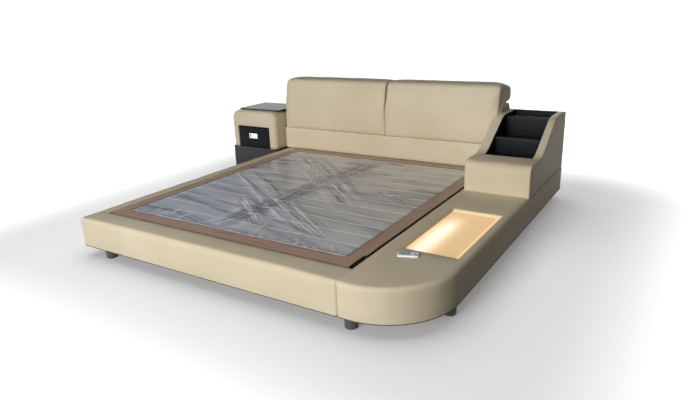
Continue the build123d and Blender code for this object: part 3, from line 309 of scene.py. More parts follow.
def wood(name, light, dark, along, ring=0.012, roughness=0.5, edge=None):
    """Planed or foiled timber with its grain along one axis. An edge colour paints shade on its upright faces,
    less on the front faces at the foot.
    """
    made, tree, main, spot = new_finish(name, IOR=1.5)
    stretch = tuple(0.04 if axis == along else 1 for axis in "XYZ")
    place = add(tree, "ShaderNodeMapping", {"Vector": spot, "Scale": stretch}).outputs["Vector"]
    grain = noise(tree, place, 1 / ring, 6, Roughness=0.62, Distortion=0.6)
    pores = noise(tree, place, 7 / ring, 2)
    surface = blended(tree, ranged(tree, grain, 0.35, 0.65), linear(light), linear(dark))
    if edge:
        # Painted shade: upright faces take the dark edge colour, as the gaps beside the border do.
        facing = parts_of(tree, add(tree, "ShaderNodeNewGeometry").outputs["Normal"])
        flat = ranged(tree, calculate(tree, "ABSOLUTE", facing["Z"]), 0.75, 0.9)
        forward_facing = ranged(tree, facing["Y"], -0.5, -0.9, 0, 0.45)
        at_foot = ranged(tree, parts_of(tree, spot)["Y"], base_foot + 0.05, base_foot + 0.04)
        unshaded_share = strongest(tree, flat, calculate(tree, "MULTIPLY", forward_facing, at_foot))
        surface = blended(tree, unshaded_share, linear(edge), surface)
    gloss = ranged(tree, grain, 0, 1, roughness - 0.08, roughness + 0.1)
    connect(tree, main, Base_Color=surface, Roughness=gloss, Normal=bumped(tree, pores, 0.25, 0.0004))
    return made


# The border foil's dark edge colour is painted shade.
foil_along = wood("brown_oak_foil_along", "#BE9F8B", "#A08270", "Y", roughness=0.46, edge="#2A211C")
foil_across = wood("brown_oak_foil_across", "#BE9F8B", "#A08270", "X", roughness=0.46, edge="#2A211C")
beech_slat = wood("lacquered_beech_ply", "#DDD2BC", "#C4B69C", "X", ring=0.02, roughness=0.32)
pine_along = wood("planed_pine_along", "#C7A673", "#A88252", "Y", ring=0.018)
pine_across = wood("planed_pine_across", "#C7A673", "#A88252", "X", ring=0.018)
black_laminate = wood("black_ash_laminate", "#1B1B1E", "#101012", "Z", roughness=0.34)

# %% Metal, plastic and glass finishes
def plain(name, colour, roughness, metal=0.0, scale=900, strength=0.08, wear=0.06, **values):
    """A hard finish: its own fine texture in the gloss and the surface, and a faint cloud of wear."""
    made, tree, main, spot = new_finish(name, Metallic=metal, **values)
    cloud = noise(tree, spot, 9, 4)
    worn = tuple(min(1, c * 1.18) for c in linear(colour)[:3]) + (1,)
    gloss = ranged(tree, cloud, 0.3, 0.7, max(roughness - wear, 0.02), roughness + wear)
    connect(tree, main, Base_Color=blended(tree, cloud, linear(colour), worn), Roughness=gloss,
            Normal=bumped(tree, noise(tree, spot, scale, 3), strength, 0.0003))
    return made


zinc_steel = plain("zinc_plated_steel", "#A9ABAE", 0.34, metal=1.0, scale=260)
black_coat = plain("black_powder_coat", "#1C1C1D", 0.42, scale=1400, strength=0.2)
chrome = plain("polished_chrome", "#D9DADC", 0.08, metal=1.0, wear=0.03, strength=0.02)
enamel = plain("warm_white_enamel", "#F1E2BE", 0.4, scale=600)
black_abs = plain("moulded_black_abs", "#151516", 0.32, scale=1100, strength=0.15)
white_abs = plain("glossy_white_abs", "#E9EDF2", 0.18, scale=1100, strength=0.03)
grey_keys = plain("grey_silicone_keys", "#A3A9B4", 0.5, scale=1100)
foot_rubber = plain("dark_grey_moulded_foot", "#494B4E", 0.3, scale=500, strength=0.2)
clear_rubber = plain("clear_bumper_rubber", "#BFC1C2", 0.5, scale=700)
tinted_glass = plain("tinted_toughened_glass", "#2B2F38", 0.1, scale=60, strength=0.01, wear=0.03, IOR=1.52,
                     Specular_IOR_Level=0.04)
lamp_board = plain("lit_lamp_board", "#FFF1D0", 0.5, Emission_Color=linear("#FFDFA8"), Emission_Strength=6)

# %% [markdown]
# ## The lit panel
# A frosted acrylic panel lies just below the leather. A strip of small lamps is glued to the inner
# wall of the tray under it, so the light is white-hot along that wall and fades to a warm tan
# across the panel. The glow is drawn in the panel's own material, from where the strip lies.

# %% Frosted panel
panel_low, panel_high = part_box("light_panel")
strip_low, strip_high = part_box("led_strip")
frosted_panel, tree, main, spot = new_finish("frosted_acrylic_panel", Base_Color=linear("#C9AE82"),
                                             Roughness=0.3, IOR=1.49)
axes = parts_of(tree, spot)
streak_x, streak_width = panel_low.x + 0.075, 0.062
streak_y, streak_length = strip_low.y * 0.55 + strip_high.y * 0.45, 0.30
reach = []
for axis, middle, size, power in (("X", streak_x, streak_width, 2.0), ("Y", streak_y, streak_length, 4.0)):
    share = calculate(tree, "DIVIDE", calculate(tree, "SUBTRACT", axes[axis], middle), size)
    reach.append(calculate(tree, "POWER", share, power))
hot = calculate(tree, "EXPONENT", calculate(tree, "MULTIPLY", calculate(tree, "ADD", *reach), -1.0))
# The glow is drawn a little brighter along the panel's right and rear rims.
from_right = calculate(tree, "SUBTRACT", panel_high.x, axes["X"])
from_rear = calculate(tree, "SUBTRACT", panel_high.y, axes["Y"])
rim = ranged(tree, calculate(tree, "MINIMUM", from_right, from_rear), 0.026, 0.017, 0, 0.3)
connect(tree, main, Emission_Color=blended(tree, hot, linear("#EBC38C"), linear("#FFF0D8")),
        Emission_Strength=calculate(tree, "ADD", ranged(tree, hot, 0, 1, 0.6, 1.12), rim))

# %% [markdown]
# ## Shaping helpers
# Every new piece starts as a primitive at its own size and place, or as a merged copy of its CAD
# part where that already has the form. These helpers select edges or faces by where they are, cut
# a piece into even strips so that it can bulge, and swell it the way foam under stretched leather
# swells: most in the middle of each face and least at its edges.

# %% Shaping helpers
def block(name, low, high):
    """A box between two corners, its object at the origin."""
    bpy.ops.object.select_all(action="DESELECT")
    middle = [(a + b) / 2 for a, b in zip(low, high)]
    bpy.ops.mesh.primitive_cube_add(size=1, location=middle, scale=[b - a for a, b in zip(low, high)])
    piece = bpy.context.object
    piece.name = name
    bpy.ops.object.transform_apply(location=True, rotation=True, scale=True)
    return piece


def activate(piece):
    """Make the piece the only selected object."""
    bpy.ops.object.select_all(action="DESELECT")
    piece.select_set(True)
    bpy.context.view_layer.objects.active = piece


def merged_copy(node, name):
    """A CAD part's mesh on an object of its own, its split corners merged and its flat faces joined."""
    mesh = frame["nodes"][node].data.copy()
    mesh.transform(frame["nodes"][node].matrix_world)
    piece = bpy.data.objects.new(name, mesh)
    bpy.context.scene.collection.objects.link(piece)
    activate(piece)
    bpy.ops.object.mode_set(mode="EDIT")
    bpy.ops.mesh.select_all(action="SELECT")
    bpy.ops.mesh.remove_doubles(threshold=0.00002)
    bpy.ops.mesh.dissolve_limited(angle_limit=0.01)
    bpy.ops.mesh.normals_make_consistent(inside=False)
    return done(piece)


def pick(piece, kind, test):
    """Select only the edges or faces whose middle and direction pass the test, in edit mode."""
    bpy.context.view_layer.objects.active = piece
    bpy.ops.object.mode_set(mode="EDIT")
    bpy.ops.mesh.select_mode(type=kind)
    bpy.ops.mesh.select_all(action="DESELECT")
    bpy.ops.object.mode_set(mode="OBJECT")
    mesh, found = piece.data, 0
    for item in (mesh.edges if kind == "EDGE" else mesh.polygons):
        if kind == "EDGE":
            a, b = (mesh.vertices[i].co for i in item.vertices)
            item.select = bool(test((a + b) / 2, (b - a).normalized()))
        else:
            item.select = bool(test(item.center, item.normal))
        found += item.select
    bpy.ops.object.mode_set(mode="EDIT")
    return found


def done(piece):
    bpy.ops.object.mode_set(mode="OBJECT")
    return piece


def round_edges(piece, radius, segments, test):
    """Bevel the edges that pass the test."""
    if pick(piece, "EDGE", test):
        bpy.ops.mesh.bevel(offset=radius, segments=segments, affect="EDGES")
    done(piece)


def remove_faces(piece, test):
    """Delete the faces that pass the test."""
    if pick(piece, "FACE", test):
        bpy.ops.mesh.delete(type="FACE")
    done(piece)


def slice_at(piece, axis, places):
    """Cut the whole piece across one axis at each place."""
    normal = tuple(1.0 if i == axis else 0.0 for i in range(3))
    bpy.context.view_layer.objects.active = piece
    bpy.ops.object.mode_set(mode="EDIT")
    for value in places:
        bpy.ops.mesh.select_all(action="SELECT")
        bpy.ops.mesh.bisect(plane_co=tuple(value * n for n in normal), plane_no=normal)
    done(piece)


def slice_evenly(piece, steps):
    """Cut the piece into strips of about the given width along each axis."""
    points = np.array([v.co for v in piece.data.vertices])
    for axis, step in enumerate(steps):
        if step:
            low, high = points[:, axis].min(), points[:, axis].max()
            count = max(2, round((high - low) / step))
            slice_at(piece, axis, [low + (high - low) * i / count for i in range(1, count)])


def coordinates(piece):
    """All vertex places and normals of a piece, as arrays."""
    size = len(piece.data.vertices)
    places, normals = np.empty(size * 3, np.float32), np.empty(size * 3, np.float32)
    piece.data.vertices.foreach_get("co", places)
    piece.data.vertices.foreach_get("normal", normals)
    return places.reshape(-1, 3).astype(float), normals.reshape(-1, 3).astype(float)


def set_coordinates(piece, places):
    piece.data.vertices.foreach_set("co", places.astype(np.float32).ravel())
    piece.data.update()


def ripple(places, height, wave):
    """A slow unevenness of foam and leather, the same on every run."""
    x, y, z = places.T * (2 * math.pi / wave)
    return height * (np.sin(x * 0.9 + 0.6 * np.sin(y * 0.7 + 1.1) + z)
                     + np.sin(0.7 * y - 0.5 * x + 1.9 * z + 2.0)
                     + 0.6 * np.sin(1.7 * x + 1.3 * y - 0.8 * z + 4.1)) / 2.6


def swell(piece, amounts, power=6, waver=0.0006, wave=0.16, hold=None):
    """Bulge each face outwards by its axis's amount, most at its middle, with a slow unevenness."""
    places, normals = coordinates(piece)
    low, high = places.min(0), places.max(0)
    share = (places - low) / (high - low)
    fall = 1 - np.abs(2 * share - 1) ** power
    shift = sum(normals[:, i] ** 2 * fall[:, (i + 1) % 3] * fall[:, (i + 2) % 3]
                * (amounts[i] + ripple(places, waver, wave)) for i in range(3))
    if hold is not None:
        shift = shift * hold(places)
    set_coordinates(piece, places + normals * shift[:, None])


def modify(piece, kind, **settings):
    """Add a modifier and apply it."""
    activate(piece)
    made = piece.modifiers.new(kind.lower(), kind)
    for name, value in settings.items():
        setattr(made, name, value)
    bpy.ops.object.modifier_apply(modifier=made.name)


def smooth(piece, degrees=40):
    activate(piece)
    bpy.ops.object.shade_smooth_by_angle(angle=math.radians(degrees))


def place_piece(piece, body, finish, slot, *nodes, fill=None):
    """Give the piece its finish, let it ride on its body, and hide the CAD nodes that it stands for."""
    piece.data.materials.clear()
    piece.data.materials.append(finish)
    if body:
        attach(piece, body)
    if nodes:
        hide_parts(*nodes)
    print(piece.name, len(piece.data.polygons), "faces")


def near(a, b, slack=0.002):
    return abs(a - b) < slack


def outside(x, y, x_span, y_span):
    """How far a place lies outside a rectangle, along the axis where it lies further out."""
    return np.maximum(np.maximum(x_span[0] - x, x - x_span[1]), np.maximum(y_span[0] - y, y - y_span[1]))


# %% [markdown]
# ## Footboard and side rail
# Each is a timber beam with 15 mm of foam and leather pulled over it from above, so the cover is
# a thin shell, open below. A box is rounded along its outer edges, cut into strips, swelled by a
# few millimetres, and given its thickness inwards.

# %% Footboard and side rail
padding, top_radius, inner_radius = 0.015, 0.019, 0.006
corner_radius, joint_radius = 0.024, 0.010


def open_cover(piece, steps, amounts, cut=None, **shape):
    """Open the underside, cut the cover into strips, swell it and give it its thickness inwards."""
    remove_faces(piece, lambda p, n: n.z < -0.9)
    slice_evenly(piece, steps)
    if cut:
        cut(piece)
    swell(piece, amounts, waver=0.0012, **shape)
    modify(piece, "SOLIDIFY", thickness=padding, offset=-1)


low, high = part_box("footboard_cover")
footboard = block("footboard_leather", low, high)
round_edges(footboard, corner_radius, 6,
            lambda p, d: abs(d.z) > 0.9 and near(p.y, low.y) and near(p.x, low.x))
round_edges(footboard, top_radius, 6,
            lambda p, d: near(p.z, high.z) and (p.y < low.y + 0.03 or p.x < low.x + 0.03))
round_edges(footboard, joint_radius, 4,
            lambda p, d: abs(d.z) > 0.9 and near(p.y, low.y) and near(p.x, high.x))
round_edges(footboard, inner_radius, 3, lambda p, d: near(p.z, high.z) and near(p.y, high.y))
open_cover(footboard, (0.05, 0.03, 0.03), (0.003, 0.005, 0.006), wave=0.22)
smooth(footboard)
place_piece(footboard, "bed_frame", beige_leather, "beige_leather", "footboard_cover", fill=0.8)

low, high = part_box("left_rail_cover")
rail = block("side_rail_leather", low, high)
round_edges(rail, top_radius, 6, lambda p, d: near(p.z, high.z) and near(p.x, low.x))
round_edges(rail, inner_radius, 3, lambda p, d: near(p.z, high.z) and near(p.x, high.x))
open_cover(rail, (0.02, 0.05, 0.03), (0.004, 0.003, 0.006), power=3, wave=0.22)
smooth(rail)
place_piece(rail, "bed_frame", beige_leather, "beige_leather", "left_rail_cover", fill=0.8)

# %% [markdown]
# ## Side platform
# One wrap runs from the foot end to the head end and turns a corner of 390 mm radius. The upright
# corner edge of a box is bevelled that far, then the top edge is rounded. The lit recess is cut
# out of the top face, and its lip is rounded once the wrap has its thickness.

# %% Side platform
low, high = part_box("platform_cover")
platform = block("platform_leather", low, high)
corner = (high.x - low.x) * 0.857
lip_radius, lip_reach = 0.004, 0.04
round_edges(platform, corner, 28, lambda p, d: abs(d.z) > 0.9 and near(p.y, low.y) and near(p.x, high.x))
round_edges(platform, 0.018, 6, lambda p, d: near(p.z, high.z) and not near(p.x, low.x))
round_edges(platform, 0.012, 4, lambda p, d: abs(d.z) > 0.9 and near(p.y, low.y, 0.02) and near(p.x, low.x))


def beyond_recess(x, y):
    return outside(x, y, (panel_low.x, panel_high.x), (panel_low.y, panel_high.y))


def cut_recess(piece):
    """Cut the recess out of the top face."""
    slice_at(piece, 0, (panel_low.x, panel_high.x))
    slice_at(piece, 1, (panel_low.y, panel_high.y))
    remove_faces(piece, lambda p, n: n.z > 0.9 and beyond_recess(p.x, p.y) < 0)


def lip_hold(places):
    """No bulge at the recess, where the leather is drawn down over its lip."""
    return np.clip(beyond_recess(places[:, 0], places[:, 1]) / lip_reach, 0, 1)


def on_lip(p, d):
    """The top edges that run round the recess."""
    beside = near(p.x, panel_low.x, 0.0005) or near(p.x, panel_high.x, 0.0005)
    across = near(p.y, panel_low.y, 0.0005) or near(p.y, panel_high.y, 0.0005)
    return near(p.z, high.z, 0.001) and beyond_recess(p.x, p.y) < 0.001 and (
        beside and abs(d.y) > 0.9 or across and abs(d.x) > 0.9)


open_cover(platform, (0.035, 0.05, 0.03), (0.004, 0.004, 0.005), cut=cut_recess, power=10, wave=0.25,
           hold=lip_hold)
round_edges(platform, lip_radius, 3, on_lip)
smooth(platform)
place_piece(platform, "bed_frame", beige_leather, "beige_leather", "platform_cover", fill=0.8)

# %% [markdown]
# ## Shelf unit
# Its side is one outline: a padded front, a level top, and a slope up to a raised back. The
# outline is drawn as a ring of points, made a solid by extruding it across the unit, and the mouth
# of the three bins is cut from the top.

# %% Outline helpers
def arc_corners(points, radii, step=0.012):
    """A closed outline with an arc of its own radius at each corner."""
    made, points = [], [np.array(p, float) for p in points]
    for i, (corner_point, radius) in enumerate(zip(points, radii)):
        back, ahead = points[i - 1] - corner_point, points[(i + 1) % len(points)] - corner_point
        back, ahead = back / np.linalg.norm(back), ahead / np.linalg.norm(ahead)
        bend = math.pi - math.acos(max(-1, min(1, float(back @ ahead))))
        if radius <= 0 or bend < 0.01:
            made.append(corner_point)
            continue
        reach = radius * math.tan(bend / 2)
        centre = corner_point + (back + ahead) / np.linalg.norm(back + ahead) * radius / math.cos(bend / 2)
        start, end = corner_point + back * reach - centre, corner_point + ahead * reach - centre
        count = max(3, round(bend * radius / step))
        for k in range(count + 1):
            share = k / count
            blend = start * math.sin((1 - share) * bend) + end * math.sin(share * bend)
            made.append(centre + blend / math.sin(bend))
    return np.array(made)


def extruded(name, outline, low_x, high_x):
    """A ring of points in the side view, filled and extruded along X."""
    bpy.ops.object.select_all(action="DESELECT")
    bpy.ops.mesh.primitive_circle_add(vertices=len(outline), radius=1, fill_type="NGON")
    piece = bpy.context.object
    piece.name = name
    set_coordinates(piece, np.array([(low_x, y, z) for y, z in outline]))
    bpy.ops.object.mode_set(mode="EDIT")
    bpy.ops.mesh.select_all(action="SELECT")
    bpy.ops.mesh.extrude_region_move(TRANSFORM_OT_translate={"value": (high_x - low_x, 0, 0)})
    bpy.ops.mesh.select_all(action="SELECT")
    bpy.ops.mesh.normals_make_consistent(inside=False)
    return done(piece)


# %% Shelf unit
low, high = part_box("shelf_cover")
liner_low, liner_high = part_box("shelf_liner")
touch_gap, front_height = 0.0003, 0.213
front_top = low.z + front_height - touch_gap
slope_start, slope_end = low.y + 0.253, low.y + 0.608
outline = arc_corners([(low.y, low.z), (low.y, front_top), (slope_start, front_top),
                       (slope_end, high.z), (high.y, high.z), (high.y, low.z)],
                      [0, 0.052, 0.240, 0.214, 0.016, 0])
shelf = extruded("shelf_leather", outline, low.x, high.x)
round_edges(shelf, 0.008, 4,
            lambda p, d: (near(p.x, low.x) or near(p.x, high.x)) and p.z > low.z + 0.001 and abs(d.x) < 0.1)
remove_faces(shelf, lambda p, n: n.z < -0.9)
slice_evenly(shelf, (0.03, 0.03, 0.03))
mouth = (liner_low.x - touch_gap, liner_high.x + touch_gap, liner_low.y - touch_gap, liner_high.y + touch_gap)
slice_at(shelf, 0, mouth[:2])
slice_at(shelf, 1, mouth[2:])
remove_faces(shelf, lambda p, n: n.z > 0.3 and outside(p.x, p.y, mouth[:2], mouth[2:]) < 0)


def mouth_hold(places):
    """No bulge at the bins' mouth, and none against the platform."""
    gap = outside(places[:, 0], places[:, 1], mouth[:2], mouth[2:])
    return np.clip(gap / 0.03, 0, 1) * np.clip((places[:, 2] - low.z) / 0.03, 0, 1)


swell(shelf, (0.004, 0.007, 0.007), power=4, waver=0.001, wave=0.2, hold=mouth_hold)
modify(shelf, "SOLIDIFY", thickness=0.014, offset=-1)
smooth(shelf)
place_piece(shelf, "bed_frame", beige_leather, "beige_leather", "shelf_cover", fill=0.75)

# %% [markdown]
# ## Bin lining and dividers
# The bins are lined with thin foam under smooth black leather, so the lining follows the mouth's
# slope and its inner faces swell a little. It starts from a merged copy of the CAD part, which has
# that slope. The two dividers are boards wrapped in the same leather, with a rounded top edge.

# %% Bin lining and dividers
lining = merged_copy("shelf_liner", "bin_lining_leather")
lining_wall = 0.005
slice_evenly(lining, (0.03, 0.03, 0.03))


def inner_faces(places):
    """One on the faces inside the lining, nought on the ones against the timber and along the rim."""
    gap = np.minimum.reduce([places[:, 0] - liner_low.x, liner_high.x - places[:, 0],
                             places[:, 1] - liner_low.y, liner_high.y - places[:, 1],
                             places[:, 2] - liner_low.z])
    return (gap > lining_wall - 0.0005).astype(float)


swell(lining, (0.003, 0.003, 0.003), power=4, waver=0.0006, wave=0.1, hold=inner_faces)
smooth(lining)
place_piece(lining, "bed_frame", black_leather, "black_leather", "shelf_liner", fill=0.7)

low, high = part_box("shelf_dividers")
slope = merged_copy("shelf_dividers", "divider_outline")
points, _ = coordinates(slope)
bpy.data.objects.remove(slope)
halves = points[points[:, 1] < (low.y + high.y) / 2], points[points[:, 1] > (low.y + high.y) / 2]
dividers = []
for name, group in zip(("divider_leather", "rear_divider"), halves):
    divider = block(name, group.min(0), group.max(0))
    top = group[:, 2].max()
    round_edges(divider, 0.005, 4, lambda p, d: near(p.z, top, 0.0002) and abs(d.x) > 0.9)
    slice_evenly(divider, (0.02, 0.008, 0.016))
    swell(divider, (0, 0.004, 0.003), power=3, waver=0.0008, wave=0.09)
    smooth(divider, 60)
    dividers.append(divider)
activate(dividers[0])
dividers[1].select_set(True)
bpy.ops.object.join()
place_piece(dividers[0], "bed_frame", black_leather, "black_leather", "shelf_dividers", fill=0.7)

# %% [markdown]
# ## Headboard band
# The band wraps the foot of the headboard: thick foam between the timber frame and the leather. It
# starts from a merged copy of the CAD part, cut into strips. Only its outer faces swell, so the
# hole that the frame passes through stays as it is.

# %% Headboard band
frame_low, frame_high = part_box("headboard_frame")
band = merged_copy("headboard_base_band", "headboard_band_leather")
slice_evenly(band, (0.05, 0.04, 0.02))


def outside_frame(places):
    """Nought on the faces against the timber frame."""
    gap = outside(places[:, 0], places[:, 1], (frame_low.x, frame_high.x), (frame_low.y, frame_high.y))
    return np.clip(gap / 0.008, 0, 1)


swell(band, (0.003, 0.005, 0), power=4, waver=0.0012, wave=0.2, hold=outside_frame)
smooth(band)
place_piece(band, "bed_frame", beige_leather, "beige_leather", "headboard_base_band", fill=0.7)

# %% [markdown]
# ## Padded backs and headrests
# From the front each back is one unbroken cushion from the band to the top. Its upper part is the
# headrest, which tilts forward about a hinge behind the leather. So each side is one leather piece
# that bends across the hinge, with the V-shaped notch behind that gives it room. The outline is
# drawn once, extruded across, rounded at its ends, and then simulated as cloth under pressure.

# %% Padded backs and headrests
pad_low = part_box("left_back_pad")[0]
rest_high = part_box("left_headrest_cushion")[1]
band_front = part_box("headboard_base_band")[0].y
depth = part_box("headboard_base_band")[1].y - band_front
hinge = [joint for joint in frame["joints"] if joint["name"] == "left_headrest_tilt"][0]["pos_m"]
foot, split, top_edge = pad_low.z, hinge[2], rest_high.z


def side_view(share, height):
    return (band_front + share * depth, height)


back_outline = [
    side_view(0.018, foot), side_view(-0.012, foot + 0.10), side_view(0.004, foot + 0.235),
    side_view(0.066, split - 0.004), side_view(0.104, split + 0.062), side_view(0.165, top_edge - 0.012),
    side_view(0.33, top_edge), side_view(0.60, top_edge - 0.003), side_view(0.99, top_edge - 0.035),
    side_view(0.99, split + 0.030), side_view(0.90, split + 0.007), side_view(0.61, split + 0.001),
    side_view(0.61, split - 0.006), side_view(0.89, split - 0.022), side_view(0.985, split - 0.060),
    side_view(0.985, foot)]
back_radii = [0.004, 0.25, 0.25, 0.20, 0.20, 0.045, 0.15, 0.30, 0.030, 0.022, 0.008, 0, 0, 0.012, 0.02, 0.004]
end_cuts = (0.004, 0.010, 0.018, 0.030, 0.045)
rise_step, depth_step = 0.012, 0.016


def bag(name, outer_x, inner_x):
    """One side's leather: the outline extruded, its ends rounded, its foot open round the frame."""
    ring = arc_corners(back_outline, back_radii, step=0.014)
    start, end = min(outer_x, inner_x), max(outer_x, inner_x)
    piece = extruded(name, ring, start, end)
    slice_at(piece, 2, [foot + rise_step * i for i in range(1, int((top_edge - foot) / rise_step))])
    ends = [start + t for t in end_cuts] + [end - t for t in end_cuts]
    slice_at(piece, 0, ends + [start + (end - start) * i / 60 for i in range(4, 57)])
    slice_at(piece, 1, [band_front + depth_step * i for i in range(1, int(depth / depth_step))])
    remove_faces(piece, lambda p, n: n.z < -0.9 and near(p.z, foot))
    places, _ = coordinates(piece)
    gap_outer, gap_inner = np.abs(places[:, 0] - outer_x), np.abs(places[:, 0] - inner_x)
    drawn = np.zeros(len(places))
    for gap, radius, inset in ((gap_outer, 0.055, 0.024), (gap_inner, 0.026, 0.012)):
        near_end = np.clip(1 - gap / radius, 0, 1)
        drawn = np.maximum(drawn, inset * (1 - np.sqrt(1 - near_end ** 2)))
    centre = np.array([0, band_front + depth * 0.5, (foot + top_edge) / 2])
    inward = centre - places
    inward[:, 0] = 0
    scale_y, scale_z = depth / 2, (top_edge - foot) / 2
    rise = np.clip((places[:, 2] - foot) / 0.05, 0, 1)
    moved = places.copy()
    moved[:, 1] += drawn * np.clip(inward[:, 1] / scale_y, -1, 1)
    moved[:, 2] += drawn * np.clip(inward[:, 2] / scale_z, -1, 1) * rise
    set_coordinates(piece, moved)
    return piece


def puff(piece, cap, steps=20, pressure=4.0):
    """Cloth under pressure, held at its foot and in the notch. No point moves further than the cap."""
    before, normals = coordinates(piece)
    held = piece.vertex_groups.new(name="held")
    fixed = [i for i, (x, y, z) in enumerate(before) if z < foot + 0.006 or y > band_front + 0.97 * depth
             or (y > band_front + 0.5 * depth and abs(z - split) < 0.07)]
    held.add([int(i) for i in fixed], 1.0, "REPLACE")
    cloth = piece.modifiers.new("cloth", "CLOTH")
    cloth.settings.quality = 5
    cloth.settings.mass = 0.4
    cloth.settings.tension_stiffness = cloth.settings.compression_stiffness = 40
    cloth.settings.shear_stiffness = 12
    cloth.settings.bending_stiffness = 2.5
    cloth.settings.use_pressure = True
    cloth.settings.uniform_pressure_force = pressure
    cloth.settings.vertex_group_mass = "held"
    cloth.settings.effector_weights.gravity = 0
    cloth.point_cache.frame_end = steps
    for step in range(1, steps + 1):
        bpy.context.scene.frame_set(step)
    activate(piece)
    bpy.ops.object.modifier_apply(modifier="cloth")
    after, _ = coordinates(piece)
    shift = after - before
    length = np.maximum(np.linalg.norm(shift, axis=1), 1e-9)
    shift *= np.minimum(1, cap / length)[:, None]
    set_coordinates(piece, before + shift)
    bpy.context.scene.frame_set(1)
    piece.vertex_groups.clear()
    print(piece.name, f"moved up to {1000 * length.max():.0f} mm, capped at {1000 * cap:.0f} mm")


seam_x = (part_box("left_back_pad")[1].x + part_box("right_back_pad")[0].x) / 2
right_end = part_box("right_headrest_cushion")[1].x
end_gap, half_seam, puff_limit = 0.002, 0.0015, 0.007
backs = (("left_back_leather", pad_low.x + end_gap, seam_x - half_seam, "left"),
         ("right_back_leather", right_end - end_gap, seam_x + half_seam, "right"))
for name, outer_x, inner_x, hand in backs:
    back = bag(name, outer_x, inner_x)
    puff(back, puff_limit)
    modify(back, "SUBSURF", levels=1, render_levels=1)
    smooth(back, 50)
    place_piece(back, None, beige_leather, "beige_leather", hand + "_back_pad", hand + "_headrest_cushion",
                fill=0.7)
    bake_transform(back)

# %% [markdown]
# ## Film over the slats
# The base is still in its wrapping: a clear film stretched from border to border. It pulls into
# seven bundles of straight creases: four that slant across it, a gathered one along the middle and
# two shorter ones. A flat grid is raised by a ridge for each crease, and by a slow unevenness.

# %% Film over the slats
film_low, film_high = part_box("dust_film")
slat_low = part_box("base_slats")[0]
bpy.ops.object.select_all(action="DESELECT")
bpy.ops.mesh.primitive_grid_add(x_subdivisions=250, y_subdivisions=270, size=1,
                                location=[(a + b) / 2 for a, b in zip(film_low, film_high)])
film = bpy.context.object
film.name = "wrapping_film"
film.scale = (film_high.x - film_low.x, film_high.y - film_low.y, 1)
bpy.ops.object.transform_apply(location=True, rotation=True, scale=True)
places, _ = coordinates(film)
rng = np.random.default_rng(7)
creases_per_metre, edge_creases, edge_ramp, highest_rise = 150, 26, 0.05, 0.011
crease_bundles = (((-0.72, 0.76), (0.60, -0.39), 0.105), ((-0.52, 0.76), (0.56, -0.24), 0.05),
                  ((-0.78, 0.11), (0.72, -0.87), 0.10), ((-0.46, -0.03), (0.60, -0.80), 0.05),
                  ((0.00, -0.99), (0.14, 0.86), 0.105), ((0.50, 0.06), (0.86, -0.14), 0.06),
                  ((-0.30, -0.43), (0.26, -0.88), 0.06))


def crease(start, end, width, height, taper=0.15):
    """The height that one straight crease adds at every point of the film."""
    a, b = np.array(start), np.array(end)
    length = np.linalg.norm(b - a)
    along = (b - a) / length
    offset = places[:, :2] - a
    t, s = offset @ along / length, offset @ np.array((-along[1], along[0]))
    return height * np.exp(-(s / width) ** 2) * np.clip(t / taper, 0, 1) * np.clip((1 - t) / taper, 0, 1)


rise = 0.0012 + ripple(places, 0.0012, 0.5)
for start, end, spread in crease_bundles:
    axis = np.array(end) - np.array(start)
    across = np.array((-axis[1], axis[0])) / np.linalg.norm(axis)
    for _ in range(round(creases_per_metre * spread)):
        first, last = rng.uniform(0, 0.4), rng.uniform(0.6, 1)
        shift, fan = rng.uniform(-spread, spread), rng.uniform(-0.5, 0.5) * spread
        rise += crease(start + axis * first + across * shift, start + axis * last + across * (shift + fan),
                       rng.uniform(0.013, 0.024), rng.uniform(0.0015, 0.0042))
for _ in range(edge_creases):
    x, y = rng.uniform(film_low.x, film_high.x), rng.choice((film_low.y, film_high.y))
    inward = 1 if y < 0 else -1
    end = (x + rng.uniform(-0.12, 0.12), y + inward * rng.uniform(0.08, 0.26))
    rise += crease((x, y), end, 0.014, 0.0022)
edge = np.minimum.reduce([places[:, 0] - film_low.x, film_high.x - places[:, 0],
                          places[:, 1] - film_low.y, film_high.y - places[:, 1]])
rise *= np.clip(edge / edge_ramp + 0.2, 0, 1)
places[:, 2] = film_high.z + np.clip(rise, 0, highest_rise)
set_coordinates(film, places)
bpy.ops.object.shade_smooth()
print("creases raise the film by up to", round(1000 * float(rise.max()), 1), "mm")

# %% [markdown]
# Blown polyethylene film is milky where it is slack and clear where it is pulled flat. Each sharp
# crease gets a painted highlight, a white line, with a line of painted shade beside it. The film
# over each slat's front edge gets a painted highlight line. These lines are finer than the grid,
# so they are drawn in the material: long streaks of noise, rotated along each bundle and kept
# inside it.

# %% Film finish
slat_pitch, line_width, line_shift = 0.1398, 0.0065, 0.0015
middle_bundle, middle_dark_share = 4, 0.8
wrapping, tree, main, spot = new_finish("blown_polyethylene_film", Roughness=0.2, IOR=1.51,
                                        Specular_IOR_Level=0.6)


